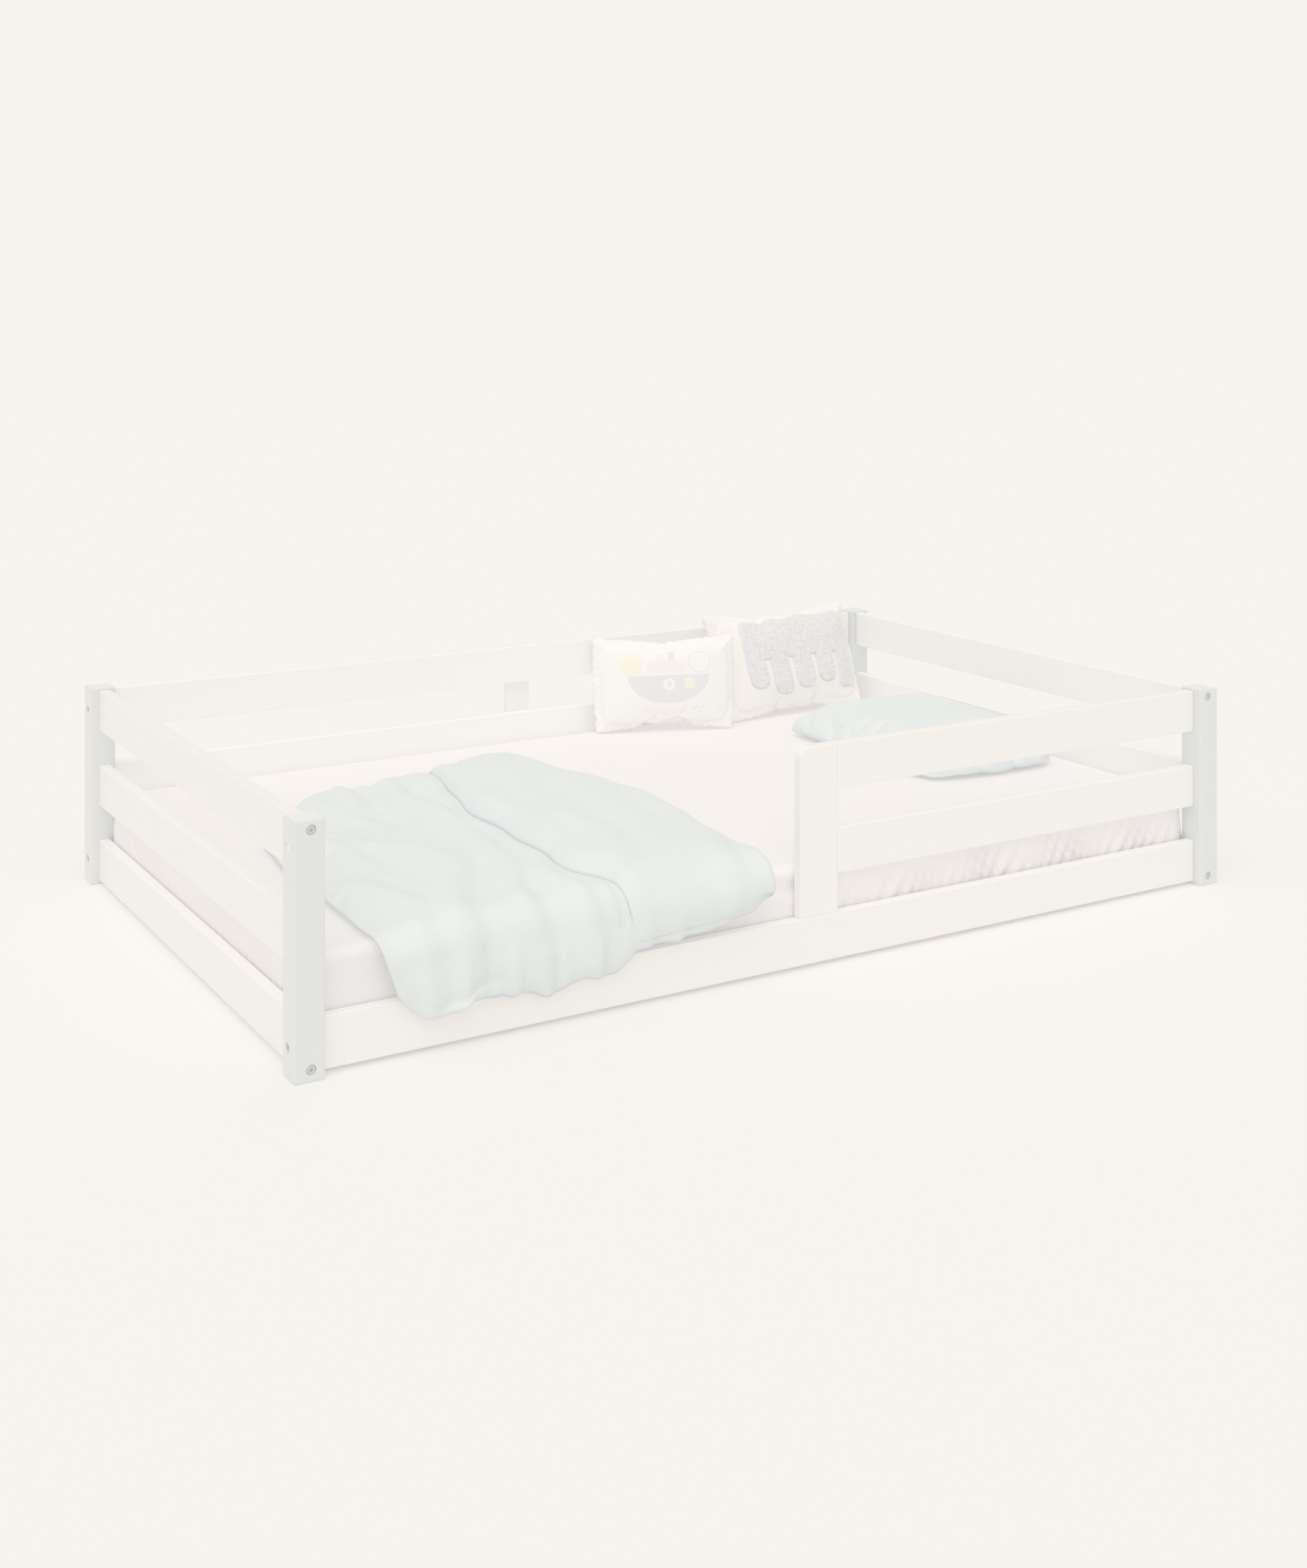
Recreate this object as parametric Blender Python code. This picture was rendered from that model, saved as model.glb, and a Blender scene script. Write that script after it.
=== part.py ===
# Toddler bed: a low four-post frame with three rails on three sides, a guard over the head half of the
# open side, a slatted base, a mattress and loose bedding. Metres, +Z up. +X is the head end, -Y is the
# open side, and the origin is on the floor under the middle of the frame.

from math import cos, pi, radians, sin

import bmesh
import bpy
from mathutils import Euler, Matrix, Vector

# Mattress, which sets the size of the frame around it
MATTRESS_LENGTH = 2.000
MATTRESS_WIDTH = 1.200
MATTRESS_HEIGHT = 0.118
MATTRESS_EDGE = 0.020
MATTRESS_LEAST_CORNER = 0.030
MATTRESS_PLAY = 0.004  # between the mattress and the rails, on each side
CORNER_PLAY = 0.0056  # between the mattress's round corners and the posts, along X and along Y

# Posts and rails
POST_SIDE = 0.053
POST_EASE = 0.003
POST_RISE = 0.005  # the post's top above the top rail
RAIL_HEIGHT = 0.087
RAIL_THICKNESS = 0.022
RAIL_SETBACK = 0.018  # the rail's outer face behind the post's
RAIL_SPACING = 0.07375  # open gap between one rail and the next
RAIL_FLOOR_GAP = 0.0085
RAIL_EASE = 0.002
UPRIGHT_X = 0.0  # the guard runs from here to the head
UPRIGHT_WIDTH = 0.087
UPRIGHT_CORNER = 0.024
BATTEN_WIDTH = 0.062
BATTEN_THICKNESS = 0.015

# Slatted base
BEARER_HEIGHT = 0.027
BEARER_THICKNESS = 0.020
BEARER_FLOOR_GAP = 0.025
BEAM_WIDTH = 0.040
LEG_SIDE = 0.038
HANGER_WALL = 0.002
HANGER_REACH = 0.030
HANGER_FLANGE = 0.014
SLAT_WIDTH = 0.070
SLAT_THICKNESS = 0.018
SLAT_COUNT = 14
BASE_EASE = 0.0015

# Fasteners
HEAD_RADIUS = 0.0082
HEAD_HEIGHT = 0.0045
HEAD_CHAMFER = 0.0006
HEAD_SUNK = 0.0010
SOCKET_FLAT = 0.0025  # half the width across the hexagon's flats
SOCKET_DEPTH = 0.0030
SHANK_RADIUS = 0.0030
INSERT_RADIUS = 0.0055
INSERT_LENGTH = 0.015
BOLT_REACH = 0.036  # how far the bolt and its insert go into the rail
BOLT_EDGE = 0.012  # from the end rails' outer edge to the bolt's axis
BORE_PLAY = 0.0005
DOWEL_RADIUS = 0.004
DOWEL_REACH = 0.012
DOWEL_OFFSET = 0.028  # from the rail's centre line

# Soft goods
SHEET_THICKNESS = 0.0015
SHEET_HEM = 0.012  # the hem's height above the mattress's underside
DUVET_THICKNESS = 0.030
DUVET_FOLD_THICKNESS = 0.058
DUVET_HANG_THICKNESS = 0.0145
DUVET_BEND = 0.028
DUVET_FOLD_START = 0.58
PILLOW_SIZE = (0.420, 0.600, 0.110)
PRINTED_SIZE = (0.365, 0.238, 0.080)
APPLIQUE_SIZE = (0.455, 0.280, 0.080)
CUSHION_RIM = 0.006
CUSHION_PULL = 0.035  # how far the sides pull in between the corners, as a part of the half size

PILLOW_FROM_HEAD = 0.249  # from the rails' inner faces to the middle of each cushion
PRINTED_FROM_HEAD = 0.655
PRINTED_FROM_BACK = 0.092
APPLIQUE_FROM_HEAD = 0.275
APPLIQUE_FROM_BACK = 0.071
PILLOW_OFF_CENTRE = -0.030
PILLOW_TURN = radians(-6)
PRINTED_TURN = radians(-20)
PRINTED_LEAN = radians(6)  # from upright
APPLIQUE_TURN = radians(2)
APPLIQUE_LEAN = radians(16)

# Clearances
TOUCH = 0.0003  # the gap between pieces that touch
REST = 0.0010  # the gap under and beside loose pieces

# How finely round shapes are cut
ROUND_SIDES = 18
CORNER_STEPS = 6
EDGE_STEPS = 4
CUSHION_STEPS = 6
DUVET_COLUMNS = 20
DUVET_FLAT_STEPS = 8
DUVET_BEND_STEPS = 4
DUVET_HANG_STEPS = 4

INSET = RAIL_SETBACK + RAIL_THICKNESS
BED_LENGTH = MATTRESS_LENGTH + 2 * (MATTRESS_PLAY + INSET)
BED_WIDTH = MATTRESS_WIDTH + 2 * (MATTRESS_PLAY + INSET)
RAIL_PITCH = RAIL_HEIGHT + RAIL_SPACING
RAIL_LEVELS = {
    "bottom": RAIL_FLOOR_GAP + RAIL_HEIGHT / 2,
    "middle": RAIL_FLOOR_GAP + RAIL_HEIGHT / 2 + RAIL_PITCH,
    "top": RAIL_FLOOR_GAP + RAIL_HEIGHT / 2 + 2 * RAIL_PITCH,
}
RAIL_TOP = RAIL_LEVELS["top"] + RAIL_HEIGHT / 2
POST_HEIGHT = RAIL_TOP + POST_RISE
POST_X = (BED_LENGTH - POST_SIDE) / 2
POST_Y = (BED_WIDTH - POST_SIDE) / 2
RAIL_X = BED_LENGTH / 2 - RAIL_SETBACK - RAIL_THICKNESS / 2  # middle of the end rails
RAIL_Y = BED_WIDTH / 2 - RAIL_SETBACK - RAIL_THICKNESS / 2  # middle of the side rails
INNER_X = BED_LENGTH / 2 - INSET
INNER_Y = BED_WIDTH / 2 - INSET
BETWEEN_POSTS_X = BED_LENGTH / 2 - POST_SIDE
BETWEEN_POSTS_Y = BED_WIDTH / 2 - POST_SIDE
POST_INTRUSION = POST_SIDE - INSET - MATTRESS_PLAY  # of a post's inner corner past the mattress's sides
MATTRESS_CORNER = max(MATTRESS_LEAST_CORNER, (POST_INTRUSION + CORNER_PLAY) / (1 - cos(pi / 4)))
BEARER_TOP = BEARER_FLOOR_GAP + BEARER_HEIGHT
SLAT_TOP = BEARER_TOP + TOUCH + SLAT_THICKNESS
MATTRESS_BOTTOM = SLAT_TOP + TOUCH
MATTRESS_TOP = MATTRESS_BOTTOM + MATTRESS_HEIGHT
SHEET_TOP = MATTRESS_TOP + TOUCH + SHEET_THICKNESS
BOLT_LENGTH = POST_SIDE - HEAD_SUNK + BOLT_REACH

# Bolt and dowel heights on each rail's ends, from the rail's centre line
END_BOLTS = {"bottom": [BOLT_EDGE - RAIL_HEIGHT / 2], "middle": [], "top": [RAIL_HEIGHT / 2 - BOLT_EDGE]}
END_DOWELS = {
    "bottom": [0, DOWEL_OFFSET],
    "middle": [-DOWEL_OFFSET, DOWEL_OFFSET],
    "top": [-DOWEL_OFFSET, 0],
}
SIDE_BOLTS = {"bottom": [0], "middle": [], "top": [0]}
SIDE_DOWELS = [-DOWEL_OFFSET, DOWEL_OFFSET]
UPRIGHT_DOWELS = [UPRIGHT_X - DOWEL_OFFSET, UPRIGHT_X + DOWEL_OFFSET]

# The duvet's outline. Its reach back from the front rails and its drop at the front hem go by the share
# across it, from its foot edge (0) to its head edge (1). Its foot edge's distance from the foot rails and
# its head edge's distance from the guard go by the share along it, from its back (0) to its hem (1).
DUVET_REACH = [(0, 0.604), (0.23, 0.839), (0.58, 0.909), (1, 0.944)]
DUVET_DROP = [(0, 0.050), (0.10, 0.132), (0.30, 0.140), (0.58, 0.126), (0.66, 0.080), (1, 0.045)]
DUVET_FROM_FOOT = [(0, 0.114), (0.60, 0.114), (1, 0.164)]
DUVET_FROM_GUARD = [(0, 0.1195), (0.50, 0.0435), (1, 0.0635)]


def clear_scene():
    for obj in list(bpy.data.objects):
        bpy.data.objects.remove(obj, do_unlink=True)


def material(name, colour, roughness, metallic=0.0):
    made = bpy.data.materials.new(name)
    made.use_nodes = True
    shader = made.node_tree.nodes["Principled BSDF"]
    shader.inputs["Base Color"].default_value = (*colour, 1.0)
    shader.inputs["Roughness"].default_value = roughness
    shader.inputs["Metallic"].default_value = metallic
    return made


def closed_mesh(name, bm, mat=None, smooth=False):
    bmesh.ops.recalc_face_normals(bm, faces=bm.faces)
    mesh = bpy.data.meshes.new(name)
    bm.to_mesh(mesh)
    bm.free()
    if smooth:
        mesh.shade_smooth()
        mesh.set_sharp_from_angle(angle=radians(35))
    if mat:
        mesh.materials.append(mat)
    return mesh


def add_object(name, mesh, location=(0, 0, 0), rotation=(0, 0, 0)):
    obj = bpy.data.objects.new(name, mesh)
    bpy.context.scene.collection.objects.link(obj)
    obj.location = location
    obj.rotation_euler = rotation
    return obj


def add_helper(name, bm, target):
    """A hidden shape in its target's own coordinates, for a Boolean."""
    helper = add_object(name, closed_mesh(name, bm))
    helper.parent = target
    helper.hide_render = True
    helper.display_type = "WIRE"
    return helper


def use_boolean(target, helper, operation):
    modifier = target.modifiers.new(helper.name, "BOOLEAN")
    modifier.operation = operation
    modifier.object = helper


def use_bevel(obj, width):
    modifier = obj.modifiers.new("eased_edges", "BEVEL")
    modifier.width = width
    modifier.segments = 2
    modifier.limit_method = "ANGLE"
    modifier.angle_limit = radians(60)


def box_mesh(size, centre=(0, 0, 0)):
    bm = bmesh.new()
    place = Matrix.Translation(centre) @ Matrix.Diagonal((*size, 1.0))
    bmesh.ops.create_cube(bm, size=1.0, matrix=place)
    return bm


def board(name, size, location, mat, ease, turn=0.0):
    obj = add_object(name, closed_mesh(name, box_mesh(size), mat), location, (0, 0, turn))
    use_bevel(obj, ease)
    return obj


def add_rod(bm, start, end, radius, sides=ROUND_SIDES):
    """A plain cylinder between two points, added to bm."""
    start, end = Vector(start), Vector(end)
    turn = (end - start).to_track_quat("Z", "Y").to_matrix().to_4x4()
    place = Matrix.Translation((start + end) / 2) @ turn
    depth = (end - start).length
    bmesh.ops.create_cone(
        bm, cap_ends=True, segments=sides, radius1=radius, radius2=radius, depth=depth, matrix=place
    )


def skin_rings(bm, rings):
    """Joins rings of points into one closed skin, with a flat face over the first and the last."""
    made = [[bm.verts.new(point) for point in ring] for ring in rings]
    count = len(made[0])
    for near, far in zip(made, made[1:]):
        for i in range(count):
            after = (i + 1) % count
            bm.faces.new((near[i], near[after], far[after], far[i]))
    bm.faces.new(made[0])
    bm.faces.new(made[-1])


def round_ring(height, radius):
    turns = (2 * pi * i / ROUND_SIDES for i in range(ROUND_SIDES))
    return [(radius * cos(turn), radius * sin(turn), height) for turn in turns]


def hexagon_ring(height, flat):
    """Points round a hexagon at the same angles as a round ring's."""
    points = []
    for i in range(ROUND_SIDES):
        turn = 2 * pi * i / ROUND_SIDES
        reach = flat / cos(turn % (pi / 3) - pi / 6)
        points.append((reach * cos(turn), reach * sin(turn), height))
    return points


def slab_ring(half_x, half_y, corner, height):
    """A rectangle with round corners at one height."""
    points = []
    for quarter, (side_x, side_y) in enumerate(((1, 1), (-1, 1), (-1, -1), (1, -1))):
        for step in range(CORNER_STEPS + 1):
            turn = (quarter + step / CORNER_STEPS) * pi / 2
            x = side_x * (half_x - corner) + corner * cos(turn)
            y = side_y * (half_y - corner) + corner * sin(turn)
            points.append((x, y, height))
    return points


def slab_rings(grow, low, high, round_low):
    """The mattress's outline, grown by a thickness, from low to high with round edges."""
    half_x = MATTRESS_LENGTH / 2 + grow
    half_y = MATTRESS_WIDTH / 2 + grow
    edge = MATTRESS_EDGE + grow
    corner = MATTRESS_CORNER + grow
    rings = []
    for step in range(EDGE_STEPS + 1):
        turn = step / EDGE_STEPS * pi / 2
        inset = edge * (1 - cos(turn))
        height = high - edge * (1 - sin(turn))
        rings.append(slab_ring(half_x - inset, half_y - inset, corner - inset, height))
    if not round_low:
        return [slab_ring(half_x, half_y, corner, low)] + rings
    mirrored = [[(x, y, low + high - z) for x, y, z in ring] for ring in reversed(rings)]
    return mirrored + rings


def make_posts(mat):
    """Four square posts, each under its depth and end, with the signs of its outer faces."""
    posts = {}
    for depth, side_y in (("front", -1), ("back", 1)):
        for end, side_x in (("foot", -1), ("head", 1)):
            size = (POST_SIDE, POST_SIDE, POST_HEIGHT)
            place = (side_x * POST_X, side_y * POST_Y, POST_HEIGHT / 2)
            post = board(f"post_{depth}_{end}", size, place, mat, POST_EASE)
            posts[depth, end] = (post, side_x, side_y)
    return posts


def joint_line(side_x, side_y, along, level):
    """The outer point of a joint's axis through a post, and the direction out of the bed."""
    if along == "x":
        return Vector((side_x * BED_LENGTH / 2, side_y * RAIL_Y, level)), Vector((side_x, 0, 0))
    return Vector((side_x * RAIL_X, side_y * BED_WIDTH / 2, level)), Vector((0, side_y, 0))


def bore_posts(posts, joints):
    """Cuts each post for its joints: a bolt's seat and through hole, or a dowel's blind hole."""
    for key, (post, side_x, side_y) in posts.items():
        bores = bmesh.new()
        for kind, along, level in joints[key]:
            outer, outward = joint_line(side_x, side_y, along, level)
            outer -= Vector(post.location)
            inner = outer - outward * POST_SIDE
            beyond = outward * BORE_PLAY
            if kind == "dowel":
                bottom = inner + outward * (DOWEL_REACH + BORE_PLAY)
                add_rod(bores, inner - beyond, bottom, DOWEL_RADIUS + BORE_PLAY)
            else:
                seat = outer - outward * (HEAD_SUNK + HEAD_HEIGHT + TOUCH)
                add_rod(bores, outer + beyond, seat, HEAD_RADIUS + BORE_PLAY)
                add_rod(bores, seat + beyond, inner - beyond, SHANK_RADIUS + BORE_PLAY)
        use_boolean(post, add_helper(f"{post.name}_bores", bores, post), "DIFFERENCE")


def bolt_mesh(mat):
    """A socket-head bolt and its threaded insert, along Z, with the head's face at 0 facing +Z."""
    bm = bmesh.new()
    insert_top = INSERT_LENGTH - BOLT_LENGTH
    skin_rings(
        bm,
        [
            hexagon_ring(-SOCKET_DEPTH, SOCKET_FLAT),
            hexagon_ring(0, SOCKET_FLAT),
            round_ring(0, HEAD_RADIUS - HEAD_CHAMFER),
            round_ring(-HEAD_CHAMFER, HEAD_RADIUS),
            round_ring(-HEAD_HEIGHT, HEAD_RADIUS),
            round_ring(-HEAD_HEIGHT, SHANK_RADIUS),
            round_ring(insert_top, SHANK_RADIUS),
            round_ring(insert_top, INSERT_RADIUS),
            round_ring(-BOLT_LENGTH, INSERT_RADIUS),
        ],
    )
    return closed_mesh("bolt", bm, mat, smooth=True)


def plug_mesh(mat):
    """The cap that closes the one bolt hole that this frame leaves unused."""
    bm = bmesh.new()
    skin_rings(
        bm,
        [
            round_ring(-HEAD_HEIGHT, HEAD_RADIUS - HEAD_CHAMFER),
            round_ring(-HEAD_CHAMFER, HEAD_RADIUS),
            round_ring(0, HEAD_RADIUS - HEAD_CHAMFER),
        ],
    )
    return closed_mesh("cap_plug", bm, mat, smooth=True)


def make_bolts(posts, joints, mats):
    bolt = bolt_mesh(mats["zinc"])
    plug = plug_mesh(mats["plug"])
    for (depth, end), (_, side_x, side_y) in posts.items():
        for kind, along, level in joints[depth, end]:
            if kind == "dowel":
                continue
            outer, outward = joint_line(side_x, side_y, along, level)
            height = "top" if level > POST_HEIGHT / 2 else "bottom"
            face = "side" if along == "x" else "end"
            name = f"bolt_{depth}_{end}_{face}_{height}" if kind == "bolt" else f"cap_plug_{depth}_{end}"
            turn = outward.to_track_quat("Z", "Y").to_euler()
            add_object(name, bolt if kind == "bolt" else plug, outer - outward * HEAD_SUNK, turn)


def make_rail(name, length, location, mat, turn=0.0, bolts=(), dowels=(), bolt_ends=(-1, 1)):
    """A rail along its own X, with dowels glued in both ends and bores for the bolts' inserts."""
    rail = board(name, (length, RAIL_THICKNESS, RAIL_HEIGHT), location, mat, RAIL_EASE, turn)
    pins = bmesh.new()
    for face in (-length / 2, length / 2):
        out = DOWEL_REACH if face > 0 else -DOWEL_REACH
        for offset in dowels:
            add_rod(pins, (face - out, 0, offset), (face + out, 0, offset), DOWEL_RADIUS)
    use_boolean(rail, add_helper(f"{name}_dowels", pins, rail), "UNION")
    if bolts:
        bores = bmesh.new()
        for end in bolt_ends:
            for offset in bolts:
                mouth = (end * (length / 2 + BORE_PLAY), 0, offset)
                bottom = (end * (length / 2 - BOLT_REACH - BORE_PLAY), 0, offset)
                add_rod(bores, mouth, bottom, INSERT_RADIUS + BORE_PLAY)
        use_boolean(rail, add_helper(f"{name}_bores", bores, rail), "DIFFERENCE")
    return rail


def make_end_rails(joints, mat):
    """Three rails at the foot and three at the head, bolted through the posts' front and back faces."""
    length = 2 * (BETWEEN_POSTS_Y - TOUCH)
    for end, side_x in (("foot", -1), ("head", 1)):
        for level_name, level in RAIL_LEVELS.items():
            bolts = END_BOLTS[level_name]
            dowels = END_DOWELS[level_name]
            place = (side_x * RAIL_X, 0, level)
            make_rail(f"{end}_rail_{level_name}", length, place, mat, pi / 2, bolts, dowels)
            for depth in ("front", "back"):
                joints[depth, end] += [("bolt", "y", level + offset) for offset in bolts]
                joints[depth, end] += [("dowel", "y", level + offset) for offset in dowels]


def make_back_rails(joints, mat):
    length = 2 * (BETWEEN_POSTS_X - TOUCH)
    for level_name, level in RAIL_LEVELS.items():
        bolts = SIDE_BOLTS[level_name]
        place = (0, RAIL_Y, level)
        make_rail(f"back_rail_{level_name}", length, place, mat, 0, bolts, SIDE_DOWELS)
        for end in ("foot", "head"):
            joints["back", end] += [("bolt", "x", level + offset) for offset in bolts]
            joints["back", end] += [("dowel", "x", level + offset) for offset in SIDE_DOWELS]


def make_front_rail(joints, mat):
    """The low rail under the entry and the guard, bored on top for the upright's dowels."""
    level = RAIL_LEVELS["bottom"]
    length = 2 * (BETWEEN_POSTS_X - TOUCH)
    place = (0, -RAIL_Y, level)
    rail = make_rail("front_rail_bottom", length, place, mat, 0, SIDE_BOLTS["bottom"], SIDE_DOWELS)
    bores = bmesh.new()
    top = RAIL_HEIGHT / 2
    for x in UPRIGHT_DOWELS:
        bottom = top - DOWEL_REACH - BORE_PLAY
        add_rod(bores, (x, 0, top + BORE_PLAY), (x, 0, bottom), DOWEL_RADIUS + BORE_PLAY)
    use_boolean(rail, add_helper("front_rail_bottom_upright_bores", bores, rail), "DIFFERENCE")
    for end in ("foot", "head"):
        joints["front", end] += [("bolt", "x", level + offset) for offset in SIDE_BOLTS["bottom"]]
        joints["front", end] += [("dowel", "x", level + offset) for offset in SIDE_DOWELS]
    joints["front", "foot"].append(("plug", "x", RAIL_LEVELS["top"]))


def make_guard(joints, mat):
    """The guard over the head half of the open side: two rails between an upright and a post."""
    start = UPRIGHT_X + UPRIGHT_WIDTH / 2 + TOUCH
    end = BETWEEN_POSTS_X - TOUCH
    for level_name in ("middle", "top"):
        level = RAIL_LEVELS[level_name]
        bolts = SIDE_BOLTS[level_name]
        place = ((start + end) / 2, -RAIL_Y, level)
        name = f"guard_rail_{level_name}"
        make_rail(name, end - start, place, mat, 0, bolts, SIDE_DOWELS, bolt_ends=(1,))
        joints["front", "head"] += [("bolt", "x", level + offset) for offset in bolts]
        joints["front", "head"] += [("dowel", "x", level + offset) for offset in SIDE_DOWELS]


def make_upright(mat):
    """The guard's upright, standing on the front rail, with one round top corner and two dowel feet."""
    low = RAIL_LEVELS["bottom"] + RAIL_HEIGHT / 2 + TOUCH
    left, right = UPRIGHT_X - UPRIGHT_WIDTH / 2, UPRIGHT_X + UPRIGHT_WIDTH / 2
    outline = [(right, RAIL_TOP), (right, low), (left, low)]
    for step in range(CORNER_STEPS + 1):
        turn = pi - step / CORNER_STEPS * pi / 2
        x = left + UPRIGHT_CORNER * (1 + cos(turn))
        outline.append((x, RAIL_TOP - UPRIGHT_CORNER * (1 - sin(turn))))
    bm = bmesh.new()
    sides = [[(x, y, z) for x, z in outline] for y in (-RAIL_THICKNESS / 2, RAIL_THICKNESS / 2)]
    skin_rings(bm, sides)
    upright = add_object("guard_upright", closed_mesh("guard_upright", bm, mat), (0, -RAIL_Y, 0))
    use_bevel(upright, RAIL_EASE)
    pins = bmesh.new()
    for x in UPRIGHT_DOWELS:
        add_rod(pins, (x, 0, low - DOWEL_REACH), (x, 0, low + DOWEL_REACH), DOWEL_RADIUS)
    use_boolean(upright, add_helper("guard_upright_dowels", pins, upright), "UNION")
    bores = bmesh.new()
    for level_name in ("middle", "top"):
        for offset in SIDE_DOWELS:
            level = RAIL_LEVELS[level_name] + offset
            bottom = right - DOWEL_REACH - BORE_PLAY
            add_rod(bores, (right + BORE_PLAY, 0, level), (bottom, 0, level), DOWEL_RADIUS + BORE_PLAY)
    use_boolean(upright, add_helper("guard_upright_bores", bores, upright), "DIFFERENCE")


def make_batten(mat):
    """The batten up the middle of the back, fixed to the back rails' outer faces."""
    low = RAIL_LEVELS["bottom"] - RAIL_HEIGHT / 2
    size = (BATTEN_WIDTH, BATTEN_THICKNESS, RAIL_TOP - low)
    y = RAIL_Y + RAIL_THICKNESS / 2 + TOUCH + BATTEN_THICKNESS / 2
    board("back_centre_batten", size, (0, y, (low + RAIL_TOP) / 2), mat, RAIL_EASE)


def make_hanger(name, side_x, mat):
    """A folded steel hanger on an end rail that carries the centre beam's end."""
    half = BEAM_WIDTH / 2 + REST
    top = BEARER_TOP - REST
    inside = BEARER_FLOOR_GAP - TOUCH
    low = inside - HANGER_WALL
    outline = [(-half - HANGER_WALL, top), (-half - HANGER_WALL, low), (half + HANGER_WALL, low)]
    outline += [(half + HANGER_WALL, top), (half, top), (half, inside), (-half, inside), (-half, top)]
    back = side_x * (INNER_X - TOUCH)
    reach = back - side_x * HANGER_REACH
    bm = bmesh.new()
    skin_rings(bm, [[(x, y, z) for y, z in outline] for x in (back - side_x * HANGER_WALL / 2, reach)])
    hanger = add_object(name, closed_mesh(name, bm, mat))
    plate_size = (HANGER_WALL, 2 * (half + HANGER_FLANGE), top - low)
    plate = box_mesh(plate_size, (back - side_x * HANGER_WALL / 2, 0, (top + low) / 2))
    use_boolean(hanger, add_helper(f"{name}_plate", plate, hanger), "UNION")


def make_base(mats):
    """Two bearers on the side rails, a centre beam on hangers and a leg, and the slats over them."""
    height = BEARER_FLOOR_GAP + BEARER_HEIGHT / 2
    bearer_size = (2 * (BETWEEN_POSTS_X - REST), BEARER_THICKNESS, BEARER_HEIGHT)
    for depth, side_y in (("front", -1), ("back", 1)):
        place = (0, side_y * (INNER_Y - TOUCH - BEARER_THICKNESS / 2), height)
        board(f"bearer_{depth}", bearer_size, place, mats["slat"], BASE_EASE)
    beam_size = (2 * (INNER_X - TOUCH - HANGER_WALL - REST), BEAM_WIDTH, BEARER_HEIGHT)
    board("centre_beam", beam_size, (0, 0, height), mats["slat"], BASE_EASE)
    leg_height = BEARER_FLOOR_GAP - TOUCH
    board("centre_leg", (LEG_SIDE, LEG_SIDE, leg_height), (0, 0, leg_height / 2), mats["slat"], BASE_EASE)
    make_hanger("beam_hanger_foot", -1, mats["zinc"])
    make_hanger("beam_hanger_head", 1, mats["zinc"])

    run = 2 * (BETWEEN_POSTS_X - REST) - SLAT_WIDTH
    slat_size = (SLAT_WIDTH, 2 * (INNER_Y - REST), SLAT_THICKNESS)
    for i in range(SLAT_COUNT):
        place = (run * (i / (SLAT_COUNT - 1) - 0.5), 0, SLAT_TOP - SLAT_THICKNESS / 2)
        board(f"slat_{i + 1:02d}", slat_size, place, mats["slat"], BASE_EASE)


def make_mattress(mat):
    bm = bmesh.new()
    skin_rings(bm, slab_rings(0, MATTRESS_BOTTOM, MATTRESS_TOP, round_low=True))
    add_object("mattress", closed_mesh("mattress", bm, mat, smooth=True))


def make_sheet(mat):
    """A fitted sheet: a thin shell over the mattress's top and sides, open underneath."""
    hem = MATTRESS_BOTTOM + SHEET_HEM
    inner = slab_rings(TOUCH, hem, MATTRESS_TOP + TOUCH, round_low=False)
    outer = slab_rings(TOUCH + SHEET_THICKNESS, hem, SHEET_TOP, round_low=False)
    bm = bmesh.new()
    skin_rings(bm, inner[::-1] + outer)
    add_object("fitted_sheet", closed_mesh("fitted_sheet", bm, mat, smooth=True))


def between_stops(share, stops):
    """A value read off a list of stops, by straight lines between them."""
    for (near, low), (far, high) in zip(stops, stops[1:]):
        if share <= far:
            return low + (high - low) * (share - near) / (far - near)
    return stops[-1][1]


def duvet_path(reach, drop):
    """Points and outward normals down the duvet's underside: along the sheet, over the edge, down."""
    edge_y = -(BED_WIDTH / 2 - RAIL_SETBACK) - REST
    top_z = SHEET_TOP + REST
    back_y, end_z = reach - INNER_Y, top_z - drop
    bend_y, bend_z = edge_y + DUVET_BEND, top_z - DUVET_BEND
    points = []
    for step in range(DUVET_FLAT_STEPS):
        y = back_y + (bend_y - back_y) * step / DUVET_FLAT_STEPS
        points.append((Vector((y, top_z)), Vector((0, 1))))
    for step in range(DUVET_BEND_STEPS + 1):
        turn = step / DUVET_BEND_STEPS * pi / 2
        normal = Vector((-sin(turn), cos(turn)))
        points.append((Vector((bend_y, bend_z)) + DUVET_BEND * normal, normal))
    for step in range(1, DUVET_HANG_STEPS + 1):
        z = bend_z + (end_z - bend_z) * step / DUVET_HANG_STEPS
        points.append((Vector((edge_y, z)), Vector((-1, 0))))
    return points


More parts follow.
